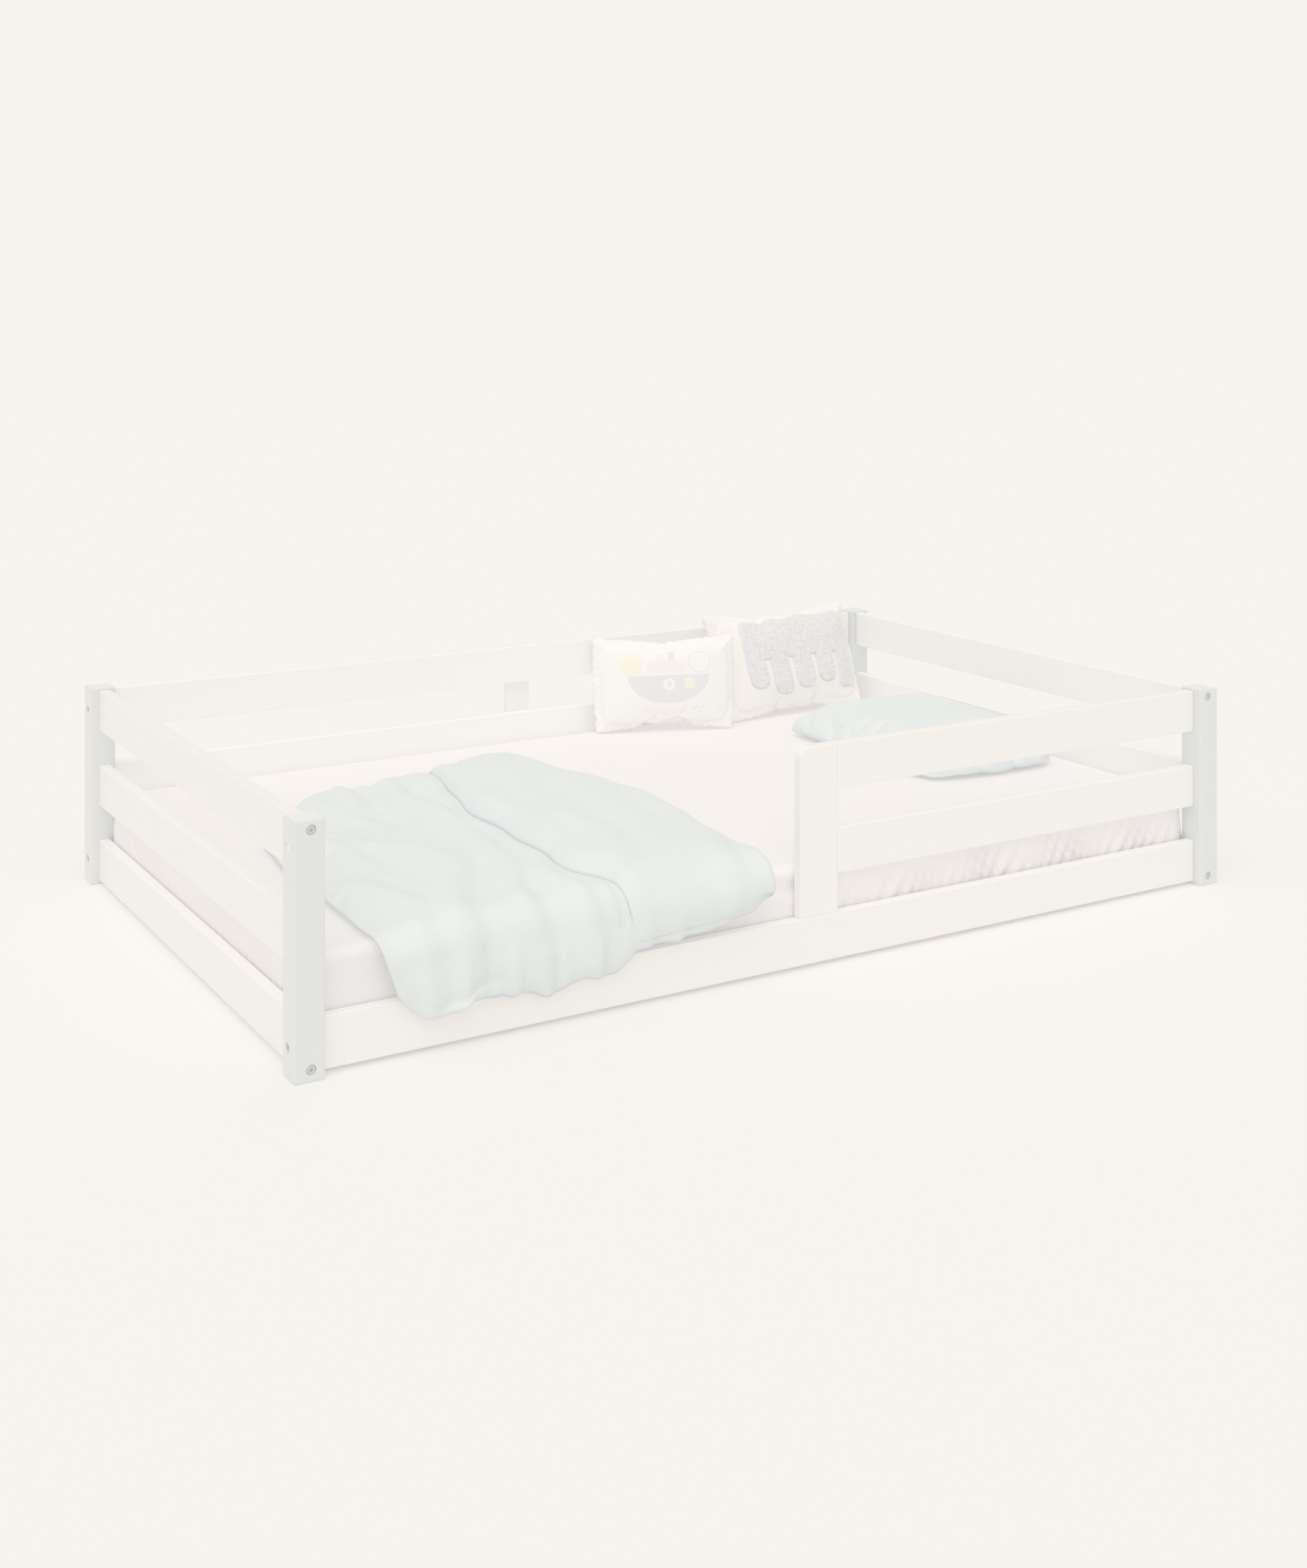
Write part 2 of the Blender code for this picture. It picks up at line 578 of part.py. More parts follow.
def make_duvet(mat):
    """The duvet across the foot half, its upper part folded back, hanging over the front rail."""
    guard_x = UPRIGHT_X - UPRIGHT_WIDTH / 2
    rings = []
    for column in range(DUVET_COLUMNS + 1):
        share = column / DUVET_COLUMNS
        flat = DUVET_FOLD_THICKNESS if share > DUVET_FOLD_START else DUVET_THICKNESS
        path = duvet_path(between_stops(share, DUVET_REACH), between_stops(share, DUVET_DROP))
        under, over = [], []
        for i, (point, normal) in enumerate(path):
            along = i / (len(path) - 1)
            foot_x = between_stops(along, DUVET_FROM_FOOT) - INNER_X
            head_x = guard_x - between_stops(along, DUVET_FROM_GUARD)
            x = foot_x + (head_x - foot_x) * share
            thick = DUVET_HANG_THICKNESS + (flat - DUVET_HANG_THICKNESS) * normal.y**3
            outer = point + normal * thick
            under.append((x, point.x, point.y))
            over.append((x, outer.x, outer.y))
        rings.append(under + over[::-1])
    bm = bmesh.new()
    skin_rings(bm, rings)
    add_object("duvet", closed_mesh("duvet", bm, mat, smooth=True))


def cushion_mesh(name, size, mat):
    """A soft cushion lying flat: crowned both sides, thin at the rim, its sides pulled in."""
    half_x, half_y, thick = size[0] / 2, size[1] / 2, size[2] / 2
    rings = []
    for i in range(-CUSHION_STEPS, CUSHION_STEPS + 1):
        u = i / CUSHION_STEPS
        front, back = [], []
        for j in range(-CUSHION_STEPS, CUSHION_STEPS + 1):
            v = j / CUSHION_STEPS
            crown = ((1 - u**4) * (1 - v**4)) ** 0.5
            lift = CUSHION_RIM / 2 + (thick - CUSHION_RIM / 2) * crown
            x = half_x * u * (1 - CUSHION_PULL * (1 - v * v))
            y = half_y * v * (1 - CUSHION_PULL * (1 - u * u))
            front.append((x, y, lift))
            back.append((x, y, -lift))
        rings.append(front + back[::-1])
    bm = bmesh.new()
    skin_rings(bm, rings)
    return closed_mesh(name, bm, mat, smooth=True)


def add_cushion(name, size, mat, centre, tilt, turn):
    """Lets a cushion down on the sheet, tilted up from lying flat and then turned about Z."""
    mesh = cushion_mesh(name, size, mat)
    rotation = Euler((tilt, 0, turn))
    low = min((rotation.to_matrix() @ vert.co).z for vert in mesh.vertices)
    add_object(name, mesh, (*centre, SHEET_TOP + REST - low), rotation)


def make_cushions(mats):
    """The flat pillow, and the two cushions that lean on the back rails."""
    centre = (INNER_X - PILLOW_FROM_HEAD, PILLOW_OFF_CENTRE)
    add_cushion("sleeping_pillow", PILLOW_SIZE, mats["duvet"], centre, 0, PILLOW_TURN)
    centre = (INNER_X - PRINTED_FROM_HEAD, INNER_Y - PRINTED_FROM_BACK)
    tilt = pi / 2 - PRINTED_LEAN
    add_cushion("cushion_printed", PRINTED_SIZE, mats["printed"], centre, tilt, PRINTED_TURN)
    centre = (INNER_X - APPLIQUE_FROM_HEAD, INNER_Y - APPLIQUE_FROM_BACK)
    tilt = pi / 2 - APPLIQUE_LEAN
    add_cushion("cushion_applique", APPLIQUE_SIZE, mats["applique"], centre, tilt, APPLIQUE_TURN)


def make_materials():
    return {
        "post": material("post_lacquer", (0.82, 0.83, 0.81), 0.32),
        "rail": material("rail_lacquer", (0.87, 0.84, 0.79), 0.36),
        "slat": material("slat_wood", (0.71, 0.56, 0.38), 0.6),
        "zinc": material("zinc_steel", (0.55, 0.56, 0.57), 0.3, 1.0),
        "plug": material("plug_plastic", (0.86, 0.86, 0.85), 0.35),
        "mattress": material("mattress_cover", (0.84, 0.82, 0.78), 0.85),
        "sheet": material("sheet_cotton", (0.87, 0.84, 0.82), 0.85),
        "duvet": material("duvet_cotton", (0.72, 0.78, 0.74), 0.85),
        "printed": material("cushion_linen", (0.86, 0.83, 0.78), 0.85),
        "applique": material("cushion_cotton", (0.83, 0.79, 0.71), 0.85),
    }


def main():
    clear_scene()
    mats = make_materials()
    posts = make_posts(mats["post"])
    joints = {key: [] for key in posts}
    make_end_rails(joints, mats["rail"])
    make_back_rails(joints, mats["rail"])
    make_front_rail(joints, mats["rail"])
    make_guard(joints, mats["rail"])
    make_upright(mats["rail"])
    make_batten(mats["rail"])
    bore_posts(posts, joints)
    make_bolts(posts, joints, mats)
    make_base(mats)
    make_mattress(mats["mattress"])
    make_sheet(mats["sheet"])
    make_duvet(mats["duvet"])
    make_cushions(mats)


main()
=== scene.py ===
import bmesh
import bpy
import numpy as np
from math import cos, pi, radians, sin
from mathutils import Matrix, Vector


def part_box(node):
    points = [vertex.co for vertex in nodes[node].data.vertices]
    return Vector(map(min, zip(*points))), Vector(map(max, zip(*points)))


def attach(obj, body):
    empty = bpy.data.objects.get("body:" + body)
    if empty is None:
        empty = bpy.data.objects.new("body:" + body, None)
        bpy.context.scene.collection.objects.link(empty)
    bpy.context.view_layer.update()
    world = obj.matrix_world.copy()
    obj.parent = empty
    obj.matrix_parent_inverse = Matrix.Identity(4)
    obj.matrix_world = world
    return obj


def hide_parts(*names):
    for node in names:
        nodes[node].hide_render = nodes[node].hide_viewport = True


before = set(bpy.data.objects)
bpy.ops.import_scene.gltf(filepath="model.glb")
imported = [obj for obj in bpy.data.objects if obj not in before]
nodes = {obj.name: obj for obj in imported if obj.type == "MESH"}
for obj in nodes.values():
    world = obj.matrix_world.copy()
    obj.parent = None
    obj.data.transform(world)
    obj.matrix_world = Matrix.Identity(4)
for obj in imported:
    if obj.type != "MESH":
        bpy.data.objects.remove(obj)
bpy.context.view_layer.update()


def deselectAll():
    if bpy.context.object and bpy.context.object.mode != "OBJECT":
        bpy.ops.object.mode_set(mode="OBJECT")
    bpy.ops.object.select_all(action="DESELECT")


def newMaterial(name):
    mat = bpy.data.materials.new(name)
    mat.use_nodes = True
    return mat, mat.node_tree, mat.node_tree.nodes["Principled BSDF"]


def feed(tree, node, inputs):
    # numbers and colours are set, sockets are linked
    for name, value in inputs.items():
        if isinstance(value, bpy.types.NodeSocket):
            tree.links.new(value, node.inputs[name])
        else:
            node.inputs[name].default_value = value


def addNode(tree, kind, inputs, **settings):
    node = tree.nodes.new("ShaderNode" + kind)
    for name, value in settings.items():
        setattr(node, name, value)
    feed(tree, node, inputs)
    return node


deselectAll()

# ---- camera, floor and light ----

cameraLook = {
    "place": (-2.118, -3.544, 1.2415),
    "turn": (90, 0, -31),  # degrees; level, so that the posts stay upright in the picture
    "lens": 43.77,
    "shiftY": -0.3037,
}

studio = {
    "paper": (0.930, 0.896, 0.847),  # the pale cream of the background and of the light
    "softness": 1.5,  # gamma of the picture: it lifts the shadows
    "floorColour": (0.857, 0.857, 0.857),
    "floorSize": 60,
    "skyShare": 0.72,  # how much of the light comes from all round; the suns give the rest
    # tilt in degrees, softness, power and whether it casts a shadow
    "suns": {
        "softTop": ((28, -26, 0), 55, 0.66, True),
        "topFill": ((0, 0, 0), 20, 0.58, False),
        "frontFill": ((60, 0, -42), 20, 0.62, False),
    },
}


def addCamera():
    bpy.ops.object.camera_add(location=cameraLook["place"],
                              rotation=[radians(a) for a in cameraLook["turn"]])
    camera = bpy.context.object
    camera.name = "camera"
    camera.data.lens = cameraLook["lens"]
    camera.data.sensor_width = 36
    camera.data.shift_y = cameraLook["shiftY"]
    camera.data.clip_end = 200
    bpy.context.scene.camera = camera


def addStudio():
    bpy.ops.mesh.primitive_plane_add(size=studio["floorSize"])
    floor = bpy.context.object
    floor.name = "floor"
    floorMat, tree, bsdf = newMaterial("floorPaper")
    feed(tree, bsdf, {"Base Color": (*studio["floorColour"], 1), "Roughness": 1, "Specular IOR Level": 0})
    floor.data.materials.append(floorMat)

    light = [c ** studio["softness"] for c in studio["paper"]]
    world = bpy.data.worlds.new("studio")
    bpy.context.scene.world = world
    world.use_nodes = True
    tree = world.node_tree
    seen = tree.nodes["Background"]
    feed(tree, seen, {"Color": (*light, 1)})
    given = addNode(tree, "Background", {"Color": (*light, 1), "Strength": studio["skyShare"]})
    fromCamera = addNode(tree, "LightPath", {}).outputs["Is Camera Ray"]
    mix = addNode(tree, "MixShader", {"Fac": fromCamera, 1: given.outputs["Background"],
                                      2: seen.outputs["Background"]})
    feed(tree, tree.nodes["World Output"], {"Surface": mix.outputs["Shader"]})
    for name, (tilt, softness, power, casts) in studio["suns"].items():
        bpy.ops.object.light_add(type="SUN", rotation=[radians(a) for a in tilt])
        sun = bpy.context.object
        sun.name = name
        sun.data.angle = radians(softness)
        sun.data.energy = power
        sun.data.color = light
        sun.data.use_shadow = casts
    bpy.context.scene.view_settings.view_transform = "Standard"
    bpy.context.scene.view_settings.gamma = studio["softness"]


addCamera()
addStudio()
print("camera and studio placed")

# ---- finishes of the frame ----

lacquer = {
    "postColour": (0.69, 0.733, 0.75),
    "railColour": (0.885, 0.88, 0.88),
    # painted light: the head and back rails get a paler copy of the rail paint, to lift their inner faces out
    # of the shade inside the bed
    "innerRailLitColour": (0.945, 0.945, 0.95),
    "postTopLitColour": (0.81, 0.87, 0.91),  # painted highlight: the post tops are painted paler than the sides, standing in for the stronger light that falls on them from above
    "coat": {"post": 0.75, "rail": 0.15},
    "roughness": 0.38,
    "grainStretch": 26,  # how much longer than wide the grain under the lacquer is
    "grainDepth": 0.00006,
    "grainShade": 0.972,
}

bareWood = {
    "light": (0.74, 0.58, 0.40),
    "dark": (0.60, 0.43, 0.26),
    "roughness": 0.62,
}

metal = {
    "zinc": (0.56, 0.57, 0.58),
    "roughness": 0.34,
    "plug": (0.86, 0.865, 0.855),
}


def stretchedCoords(tree, stretch=(1, 1, 1)):
    place = addNode(tree, "TexCoord", {}).outputs["Object"]
    return addNode(tree, "Mapping", {"Scale": stretch, "Vector": place}).outputs["Vector"]


def coverCoords(tree):
    return addNode(tree, "UVMap", {}, uv_map="cover").outputs["UV"]


def addNoise(tree, vector, scale, detail=3, roughness=0.5):
    return addNode(tree, "TexNoise", {"Vector": vector, "Scale": scale, "Detail": detail,
                                      "Roughness": roughness}).outputs["Fac"]


def addRamp(tree, value, low, high):
    return addNode(tree, "MapRange", {"Value": value, "To Min": low, "To Max": high}).outputs["Result"]


def addMath(tree, operation, *values):
    return addNode(tree, "Math", dict(enumerate(values)), operation=operation).outputs["Value"]


def mixColours(tree, factor, first, second):
    # of two colours, or of the sockets that give them
    first, second = [c if isinstance(c, bpy.types.NodeSocket) else (*c, 1) for c in (first, second)]
    return addNode(tree, "Mix", {"Factor": factor, "A": first, "B": second},
                   data_type="RGBA").outputs["Result"]


def addBump(tree, height, distance, strength=1.0, under=None):
    bump = addNode(tree, "Bump", {"Height": height, "Distance": distance, "Strength": strength})
    if under:
        feed(tree, bump, {"Normal": under})
    return bump.outputs["Normal"]


def lacquerMaterial(name, colour, along, coat=lacquer["coat"]["rail"], litTopColour=None):
    # sprayed satin lacquer: the grain just shows through, with a faint orange peel over it
    mat, tree, bsdf = newMaterial(name)
    stretch = [90.0, 90.0, 90.0]
    stretch[along] /= lacquer["grainStretch"]
    grain = addNoise(tree, stretchedCoords(tree, stretch), 2.2, 5, 0.6)
    peel = addNoise(tree, stretchedCoords(tree), 420, 2)
    patch = addNoise(tree, stretchedCoords(tree), 3.5, 2)
    deeper = [c * lacquer["grainShade"] for c in colour]
    painted = mixColours(tree, addRamp(tree, grain, 0.0, 1.0), deeper, colour)
    # painted highlight: faces that look up are blended to a paler colour, standing in for the light from
    # above
    if litTopColour:
        normal = addNode(tree, "NewGeometry", {}).outputs["Normal"]
        upward = addNode(tree, "SeparateXYZ", {"Vector": normal}).outputs["Z"]
        litTopMask = addNode(tree, "MapRange", {"Value": upward, "From Min": 0.9, "From Max": 0.98})
        painted = mixColours(tree, litTopMask.outputs["Result"], painted, litTopColour)
    fine = addBump(tree, peel, 0.00002, 0.5)
    feed(tree, bsdf, {
        "Base Color": painted,
        "Roughness": addRamp(tree, patch, lacquer["roughness"] - 0.06, lacquer["roughness"] + 0.07),
        "Normal": addBump(tree, grain, lacquer["grainDepth"], 0.7, fine),
        "Coat Weight": coat,
        "Coat Roughness": 0.25,
    })
    return mat


def bareWoodMaterial(name, along):
    mat, tree, bsdf = newMaterial(name)
    stretch = [22.0, 22.0, 22.0]
    stretch[along] = 1.3
    rings = addNoise(tree, stretchedCoords(tree, stretch), 3.0, 6, 0.62)
    pores = addNoise(tree, stretchedCoords(tree, [12 * s for s in stretch]), 3.0, 2)
    shade = addRamp(tree, rings, -0.4, 1.4)
    feed(tree, bsdf, {
        "Base Color": mixColours(tree, shade, bareWood["dark"], bareWood["light"]),
        "Roughness": addRamp(tree, pores, bareWood["roughness"] - 0.1, bareWood["roughness"] + 0.1),
        "Normal": addBump(tree, pores, 0.0002, 0.5),
    })
    return mat


def zincMaterial():
    mat, tree, bsdf = newMaterial("brightZinc")
    scratch = addNoise(tree, stretchedCoords(tree), 900, 3)
    feed(tree, bsdf, {
        "Base Color": (*metal["zinc"], 1),
        "Metallic": 1,
        "Roughness": addRamp(tree, scratch, metal["roughness"] - 0.1, metal["roughness"] + 0.12),
    })
    return mat


def plugMaterial():
    mat, tree, bsdf = newMaterial("plugPlastic")
    peel = addNoise(tree, stretchedCoords(tree), 700, 2)
    feed(tree, bsdf, {"Base Color": (*metal["plug"], 1), "Roughness": 0.3,
                      "Normal": addBump(tree, peel, 0.00003, 0.4)})
    return mat


frontRailPaint = lacquerMaterial("frontRailLacquer", lacquer["railColour"], 0)
uprightPaint = lacquerMaterial("uprightLacquer", lacquer["railColour"], 2)
bearerWood = bareWoodMaterial("bearerWood", 0)
zinc = zincMaterial()

# by the start of the node's name
frameFinish = {
    "post_": lacquerMaterial("postLacquer", lacquer["postColour"], 2, lacquer["coat"]["post"],
                             lacquer["postTopLitColour"]),
    "foot_rail": lacquerMaterial("endRailLacquer", lacquer["railColour"], 1),
    # painted light: the head and back rails take the paler copy of the rail paint
    "head_rail": lacquerMaterial("headRailLitLacquer", lacquer["innerRailLitColour"], 1),
    "back_rail": lacquerMaterial("backRailLitLacquer", lacquer["innerRailLitColour"], 0),
    "front_rail": frontRailPaint,
    "guard_rail": frontRailPaint,
    "guard_upright": uprightPaint,
    "back_centre": uprightPaint,
    "slat_": bareWoodMaterial("slatWood", 1),
    "bearer_": bearerWood,
    "centre_": bearerWood,
    "beam_hanger": zinc,
    "bolt_": zinc,
    "cap_plug": plugMaterial(),
}


def finishFrame():
    for name, obj in nodes.items():
        for start, mat in frameFinish.items():
            if name.startswith(start):
                for materialSlot in obj.material_slots:
                    materialSlot.material = mat


finishFrame()
print("frame finished")


# ---- fabrics ----

fabrics = {
    "weavePitch": 0.0011,  # thread spacing of the woven covers
    "sage": (0.675, 0.75, 0.775),
    "sageFaded": (0.735, 0.805, 0.835),
    "linen": (0.90, 0.895, 0.895),
    "linenWorn": (0.925, 0.92, 0.915),
    "cream": (0.89, 0.885, 0.87),
    "creamWorn": (0.915, 0.905, 0.885),
    "sheet": (0.865, 0.855, 0.885),
    "sheetWorn": (0.89, 0.875, 0.90),
    "terry": (0.93, 0.95, 0.975),
    # painted shade: the darker blue stands in for the shade in the hollows of the terry pile
    "terryPileShade": (0.75, 0.78, 0.83),
    "ticking": (0.84, 0.82, 0.78),
    "tickingWorn": (0.80, 0.775, 0.73),
    "roughness": 0.92,
}


def fabricMaterial(name, colour, worn, pitch=fabrics["weavePitch"], fuzz=0.25, slub=0.5):
    # plain weave in the cover's own UV, in metres: two crossed sets of threads with slubs in them
    mat, tree, bsdf = newMaterial(name)
    uv = coverCoords(tree)
    thread = {"Vector": uv, "Scale": 1 / pitch / 20 * pi, "Distortion": 0.6, "Detail": 1, "Detail Scale": 0.4}
    threads = [addNode(tree, "TexWave", thread, bands_direction=way).outputs["Fac"] for way in "XY"]
    crossed = addMath(tree, "MULTIPLY", *threads)
    slubUv = addNode(tree, "Mapping", {"Scale": (60, 900, 1), "Vector": uv}).outputs["Vector"]
    slubs = addNoise(tree, slubUv, 1.0, 2, slub)
    wear = addNoise(tree, stretchedCoords(tree), 6, 4, 0.6)
    lint = addNoise(tree, stretchedCoords(tree), 1800, 2)
    base = mixColours(tree, addRamp(tree, wear, -0.3, 1.3), colour, worn)
    slubShade = mixColours(tree, slubs, (0.965, 0.965, 0.965), (1, 1, 1))
    tint = addNode(tree, "Mix", {"Factor": 1, "A": base, "B": slubShade}, data_type="RGBA",
                   blend_type="MULTIPLY")
    woven = addBump(tree, crossed, pitch * 0.3, 0.5)
    slubbed = addBump(tree, slubs, pitch * 0.4, 0.4, woven)
    feed(tree, bsdf, {
        "Base Color": tint.outputs["Result"],
        "Roughness": addRamp(tree, lint, fabrics["roughness"] - 0.12, 1.0),
        "Normal": addBump(tree, lint, pitch * 0.3, fuzz, slubbed),
        "Sheen Weight": 0.18,
        "Sheen Roughness": 0.6,
        "Specular IOR Level": 0.25,
    })
    return mat, base, tint


def plainFabric(name, colour, worn, **more):
    return fabricMaterial(name, colour, worn, **more)[0]


sageCotton = plainFabric("sageCotton", fabrics["sage"], fabrics["sageFaded"])

# ---- filled covers: two panels sewn round the rim and blown up ----

rest = {
    "sheetTop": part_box("fitted_sheet")[1][2],
    "railInnerY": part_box("back_rail_top")[0][1],
    "gap": 0.001,
}


def meshPoints(obj):
    flat = np.empty(len(obj.data.vertices) * 3)
    obj.data.vertices.foreach_get("co", flat)
    return flat.reshape(-1, 3)


def setPoints(obj, points):
    obj.data.vertices.foreach_set("co", np.ascontiguousarray(points, dtype=float).ravel())
    obj.data.update()


def activate(obj):
    deselectAll()
    obj.select_set(True)
    bpy.context.view_layer.objects.active = obj


def inEditMode(obj, *steps):
    activate(obj)
    bpy.ops.object.mode_set(mode="EDIT")
    bpy.ops.mesh.select_all(action="SELECT")
    for step in steps:
        step()
    bpy.ops.object.mode_set(mode="OBJECT")


def applyModifiers(obj):
    activate(obj)
    for modifier in list(obj.modifiers):
        bpy.ops.object.modifier_apply(modifier=modifier.name)


def addGrid(name, width, height, across, up):
    # a flat panel with its flat place, in metres, as its UV
    deselectAll()
    bpy.ops.mesh.primitive_grid_add(x_subdivisions=across, y_subdivisions=up, size=1)
    panel = bpy.context.object
    panel.name = name
    panel.scale = (width, height, 1)
    bpy.ops.object.transform_apply(location=False, rotation=False, scale=True)
    while panel.data.uv_layers:
        panel.data.uv_layers.remove(panel.data.uv_layers[0])
    uv = panel.data.uv_layers.new(name="cover")
    points = meshPoints(panel)
    for loop in panel.data.loops:
        uv.data[loop.index].uv = points[loop.vertex_index][:2]
    return panel


def waves(at, *terms):
    # a sum of sine waves: size, radians to the metre, start
    return sum(size * np.sin(at * rate + start) for size, rate, start in terms)


def rimDistance(points, width, height):
    return np.minimum(width / 2 - np.abs(points[:, 0]), height / 2 - np.abs(points[:, 1]))


def sewnPanels(name, width, height, cell, lift=0.007):
    # front and back panel of the flat cover, a little apart and sewn together round the rim
    across, up = round(width / cell), round(height / cell)
    cover = addGrid(name, width, height, across, up)
    inEditMode(cover, bpy.ops.mesh.duplicate,
               lambda: bpy.ops.transform.translate(value=(0, 0, -0.001)), bpy.ops.mesh.flip_normals)
    points = meshPoints(cover)
    inward = rimDistance(points, width, height)
    side = np.where(inward < 1e-6, 0, np.where(points[:, 2] < -0.0005, -1, 1))
    points[:, 2] = side * lift * (0.3 + 0.7 * np.sqrt(np.clip(inward / (height / 8), 0, 1)))
    setPoints(cover, points)
    inEditMode(cover, lambda: bpy.ops.mesh.remove_doubles(threshold=1e-5))
    points = meshPoints(cover)
    flat = points[:, :2].copy()
    side = np.sign(np.round(points[:, 2], 6))
    front = np.zeros((up + 1, across + 1), int)  # which vertex stands where on the front panel
    shown = np.nonzero(side >= 0)[0]
    column = np.round((flat[shown, 0] / width + 0.5) * across).astype(int)
    row = np.round((flat[shown, 1] / height + 0.5) * up).astype(int)
    front[row, column] = shown
    return cover, flat, side, front


def makeCloth(obj, sim, rim):
    cloth = obj.modifiers.new("cloth", "CLOTH")
    settings = cloth.settings
    settings.quality = sim["quality"]
    settings.mass = 0.15
    settings.air_damping = 1.5
    settings.tension_stiffness = settings.compression_stiffness = sim["stiffness"]
    settings.shear_stiffness = sim["stiffness"] * 0.3
    settings.bending_stiffness = sim["bending"]
    settings.tension_damping = settings.compression_damping = 8
    settings.use_pressure = True
    settings.uniform_pressure_force = sim["pressure"]
    settings.effector_weights.gravity = 0
    settings.shrink_min = sim["shrink"]
    gathered = obj.vertex_groups.new(name="gathered")
    gathered.add([int(i) for i in np.nonzero(rim)[0]], 1, "REPLACE")
    settings.vertex_group_shrink = "gathered"
    settings.shrink_max = sim["seamShrink"]
    cloth.collision_settings.use_collision = False
    cloth.collision_settings.use_self_collision = False
    cloth.point_cache.frame_start = 1
    cloth.point_cache.frame_end = sim["frames"]


def blowUp(obj, sim, rim):
    makeCloth(obj, sim, rim)
    for step in range(1, sim["frames"] + 1):
        bpy.context.scene.frame_set(step)
    applyModifiers(obj)
    obj.vertex_groups.clear()
    bpy.context.scene.frame_set(1)


def creaseRim(obj, rim, amount):
    crease = obj.data.attributes.new("crease_edge", "FLOAT", "EDGE")
    ends = np.empty(len(obj.data.edges) * 2, int)
    obj.data.edges.foreach_get("vertices", ends)
    both = rim[ends.reshape(-1, 2)].all(axis=1)
    crease.data.foreach_set("value", np.where(both, amount, 0.0))


def smoothFinish(obj, levels=1):
    subdivide = obj.modifiers.new("smooth", "SUBSURF")
    subdivide.levels = subdivide.render_levels = levels
    subdivide.uv_smooth = "PRESERVE_CORNERS"
    applyModifiers(obj)
    bpy.ops.object.shade_smooth()


def softLimit(values, limit, soft=0.002):
    # everything under the limit is pressed flat just above it
    over = (values - limit) / soft
    return limit + soft * np.where(over > 30, over, np.log1p(np.exp(np.minimum(over, 30))))


def turned(points, tilt, turn):
    x, y, z = points.T
    y, z = y * cos(tilt) - z * sin(tilt), y * sin(tilt) + z * cos(tilt)
    return np.column_stack([x * cos(turn) - y * sin(turn), x * sin(turn) + y * cos(turn), z])


def middle(node):
    low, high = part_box(node)
    return np.array([(low[i] + high[i]) / 2 for i in range(3)])


def splineWeights(share):
    # a uniform cubic B-spline, the surface that the subdivided panel tends to
    return np.stack([(1 - share) ** 3, 3 * share ** 3 - 6 * share ** 2 + 4,
                     -3 * share ** 3 + 3 * share ** 2 + 3 * share + 1, share ** 3], axis=1) / 6


def onPanel(lattice, width, height, flat, lift):
    # the place of flat points on the blown-up front panel, lifted off it along its normal
    rows, columns = lattice.shape[:2]

    def place(at):
        u = np.clip((at[:, 0] / width + 0.5) * (columns - 1), 0, columns - 1.0001)
        v = np.clip((at[:, 1] / height + 0.5) * (rows - 1), 0, rows - 1.0001)
        i, j = np.floor(u).astype(int), np.floor(v).astype(int)
        wu, wv = splineWeights(u - i), splineWeights(v - j)
        total = np.zeros((len(at), 3))
        for a in range(4):
            for b in range(4):
                corner = lattice[np.clip(j + a - 1, 0, rows - 1), np.clip(i + b - 1, 0, columns - 1)]
                total += corner * (wv[:, a] * wu[:, b])[:, None]
        return total

    here = place(flat)
    step = 0.002
    normal = np.cross(place(flat + [step, 0]) - here, place(flat + [0, step]) - here)
    normal /= np.linalg.norm(normal, axis=1)[:, None] + 1e-12
    return here + normal * np.reshape(lift, (-1, 1))


gathers = {
    "roundFrom": 2.3,  # the cover starts to round off this share of its height from the seam
    "cornerReach": 1.6,
    "seamWave": 0.7,  # how much of the gathers' depth shows in the seam's own outline
    "flatRim": 0.006,
}


def fuller(points, flat, side, look):
    # the filling rounds the cover out close to the seam, and the seam gathers the cloth
    width, height = look["cover"]
    inward = rimDistance(flat, width, height)
    reach = 1 - np.clip(inward / (height / gathers["roundFrom"]), 0, 1)
    swell = np.ptp(points[:, 2]) / 2 * np.sqrt(1 - reach ** 2) * side
    points[:, 2] += look["full"] * (swell - points[:, 2])
    toSide, toEnd = width / 2 - np.abs(flat[:, 0]), height / 2 - np.abs(flat[:, 1])
    radius = np.where(flat[:, 1] > 0, *look["corners"])
    corner = radius * np.exp(-(toSide + toEnd) / (gathers["cornerReach"] * radius))
    points[:, :2] -= corner[:, None] * np.sign(flat)
    along = np.where(toSide < toEnd, flat[:, 1], flat[:, 0] + 1.3)  # the ends start elsewhere in the wave
    gather = np.sin(along * 2 * pi / look["gatherPitch"] + waves(along, (2.2, 41, 0)))
    gather *= 0.6 + waves(along, (0.4, 63, side))
    gather *= look["gather"] * np.exp(-inward / look["gatherReach"])
    points[:, 2] += side * gather * np.clip(inward / gathers["flatRim"], 0, 1)
    nearest = np.stack([toSide < toEnd, toSide >= toEnd], axis=1)
    points[:, :2] -= (gathers["seamWave"] * gather)[:, None] * np.sign(flat) * nearest
    return points


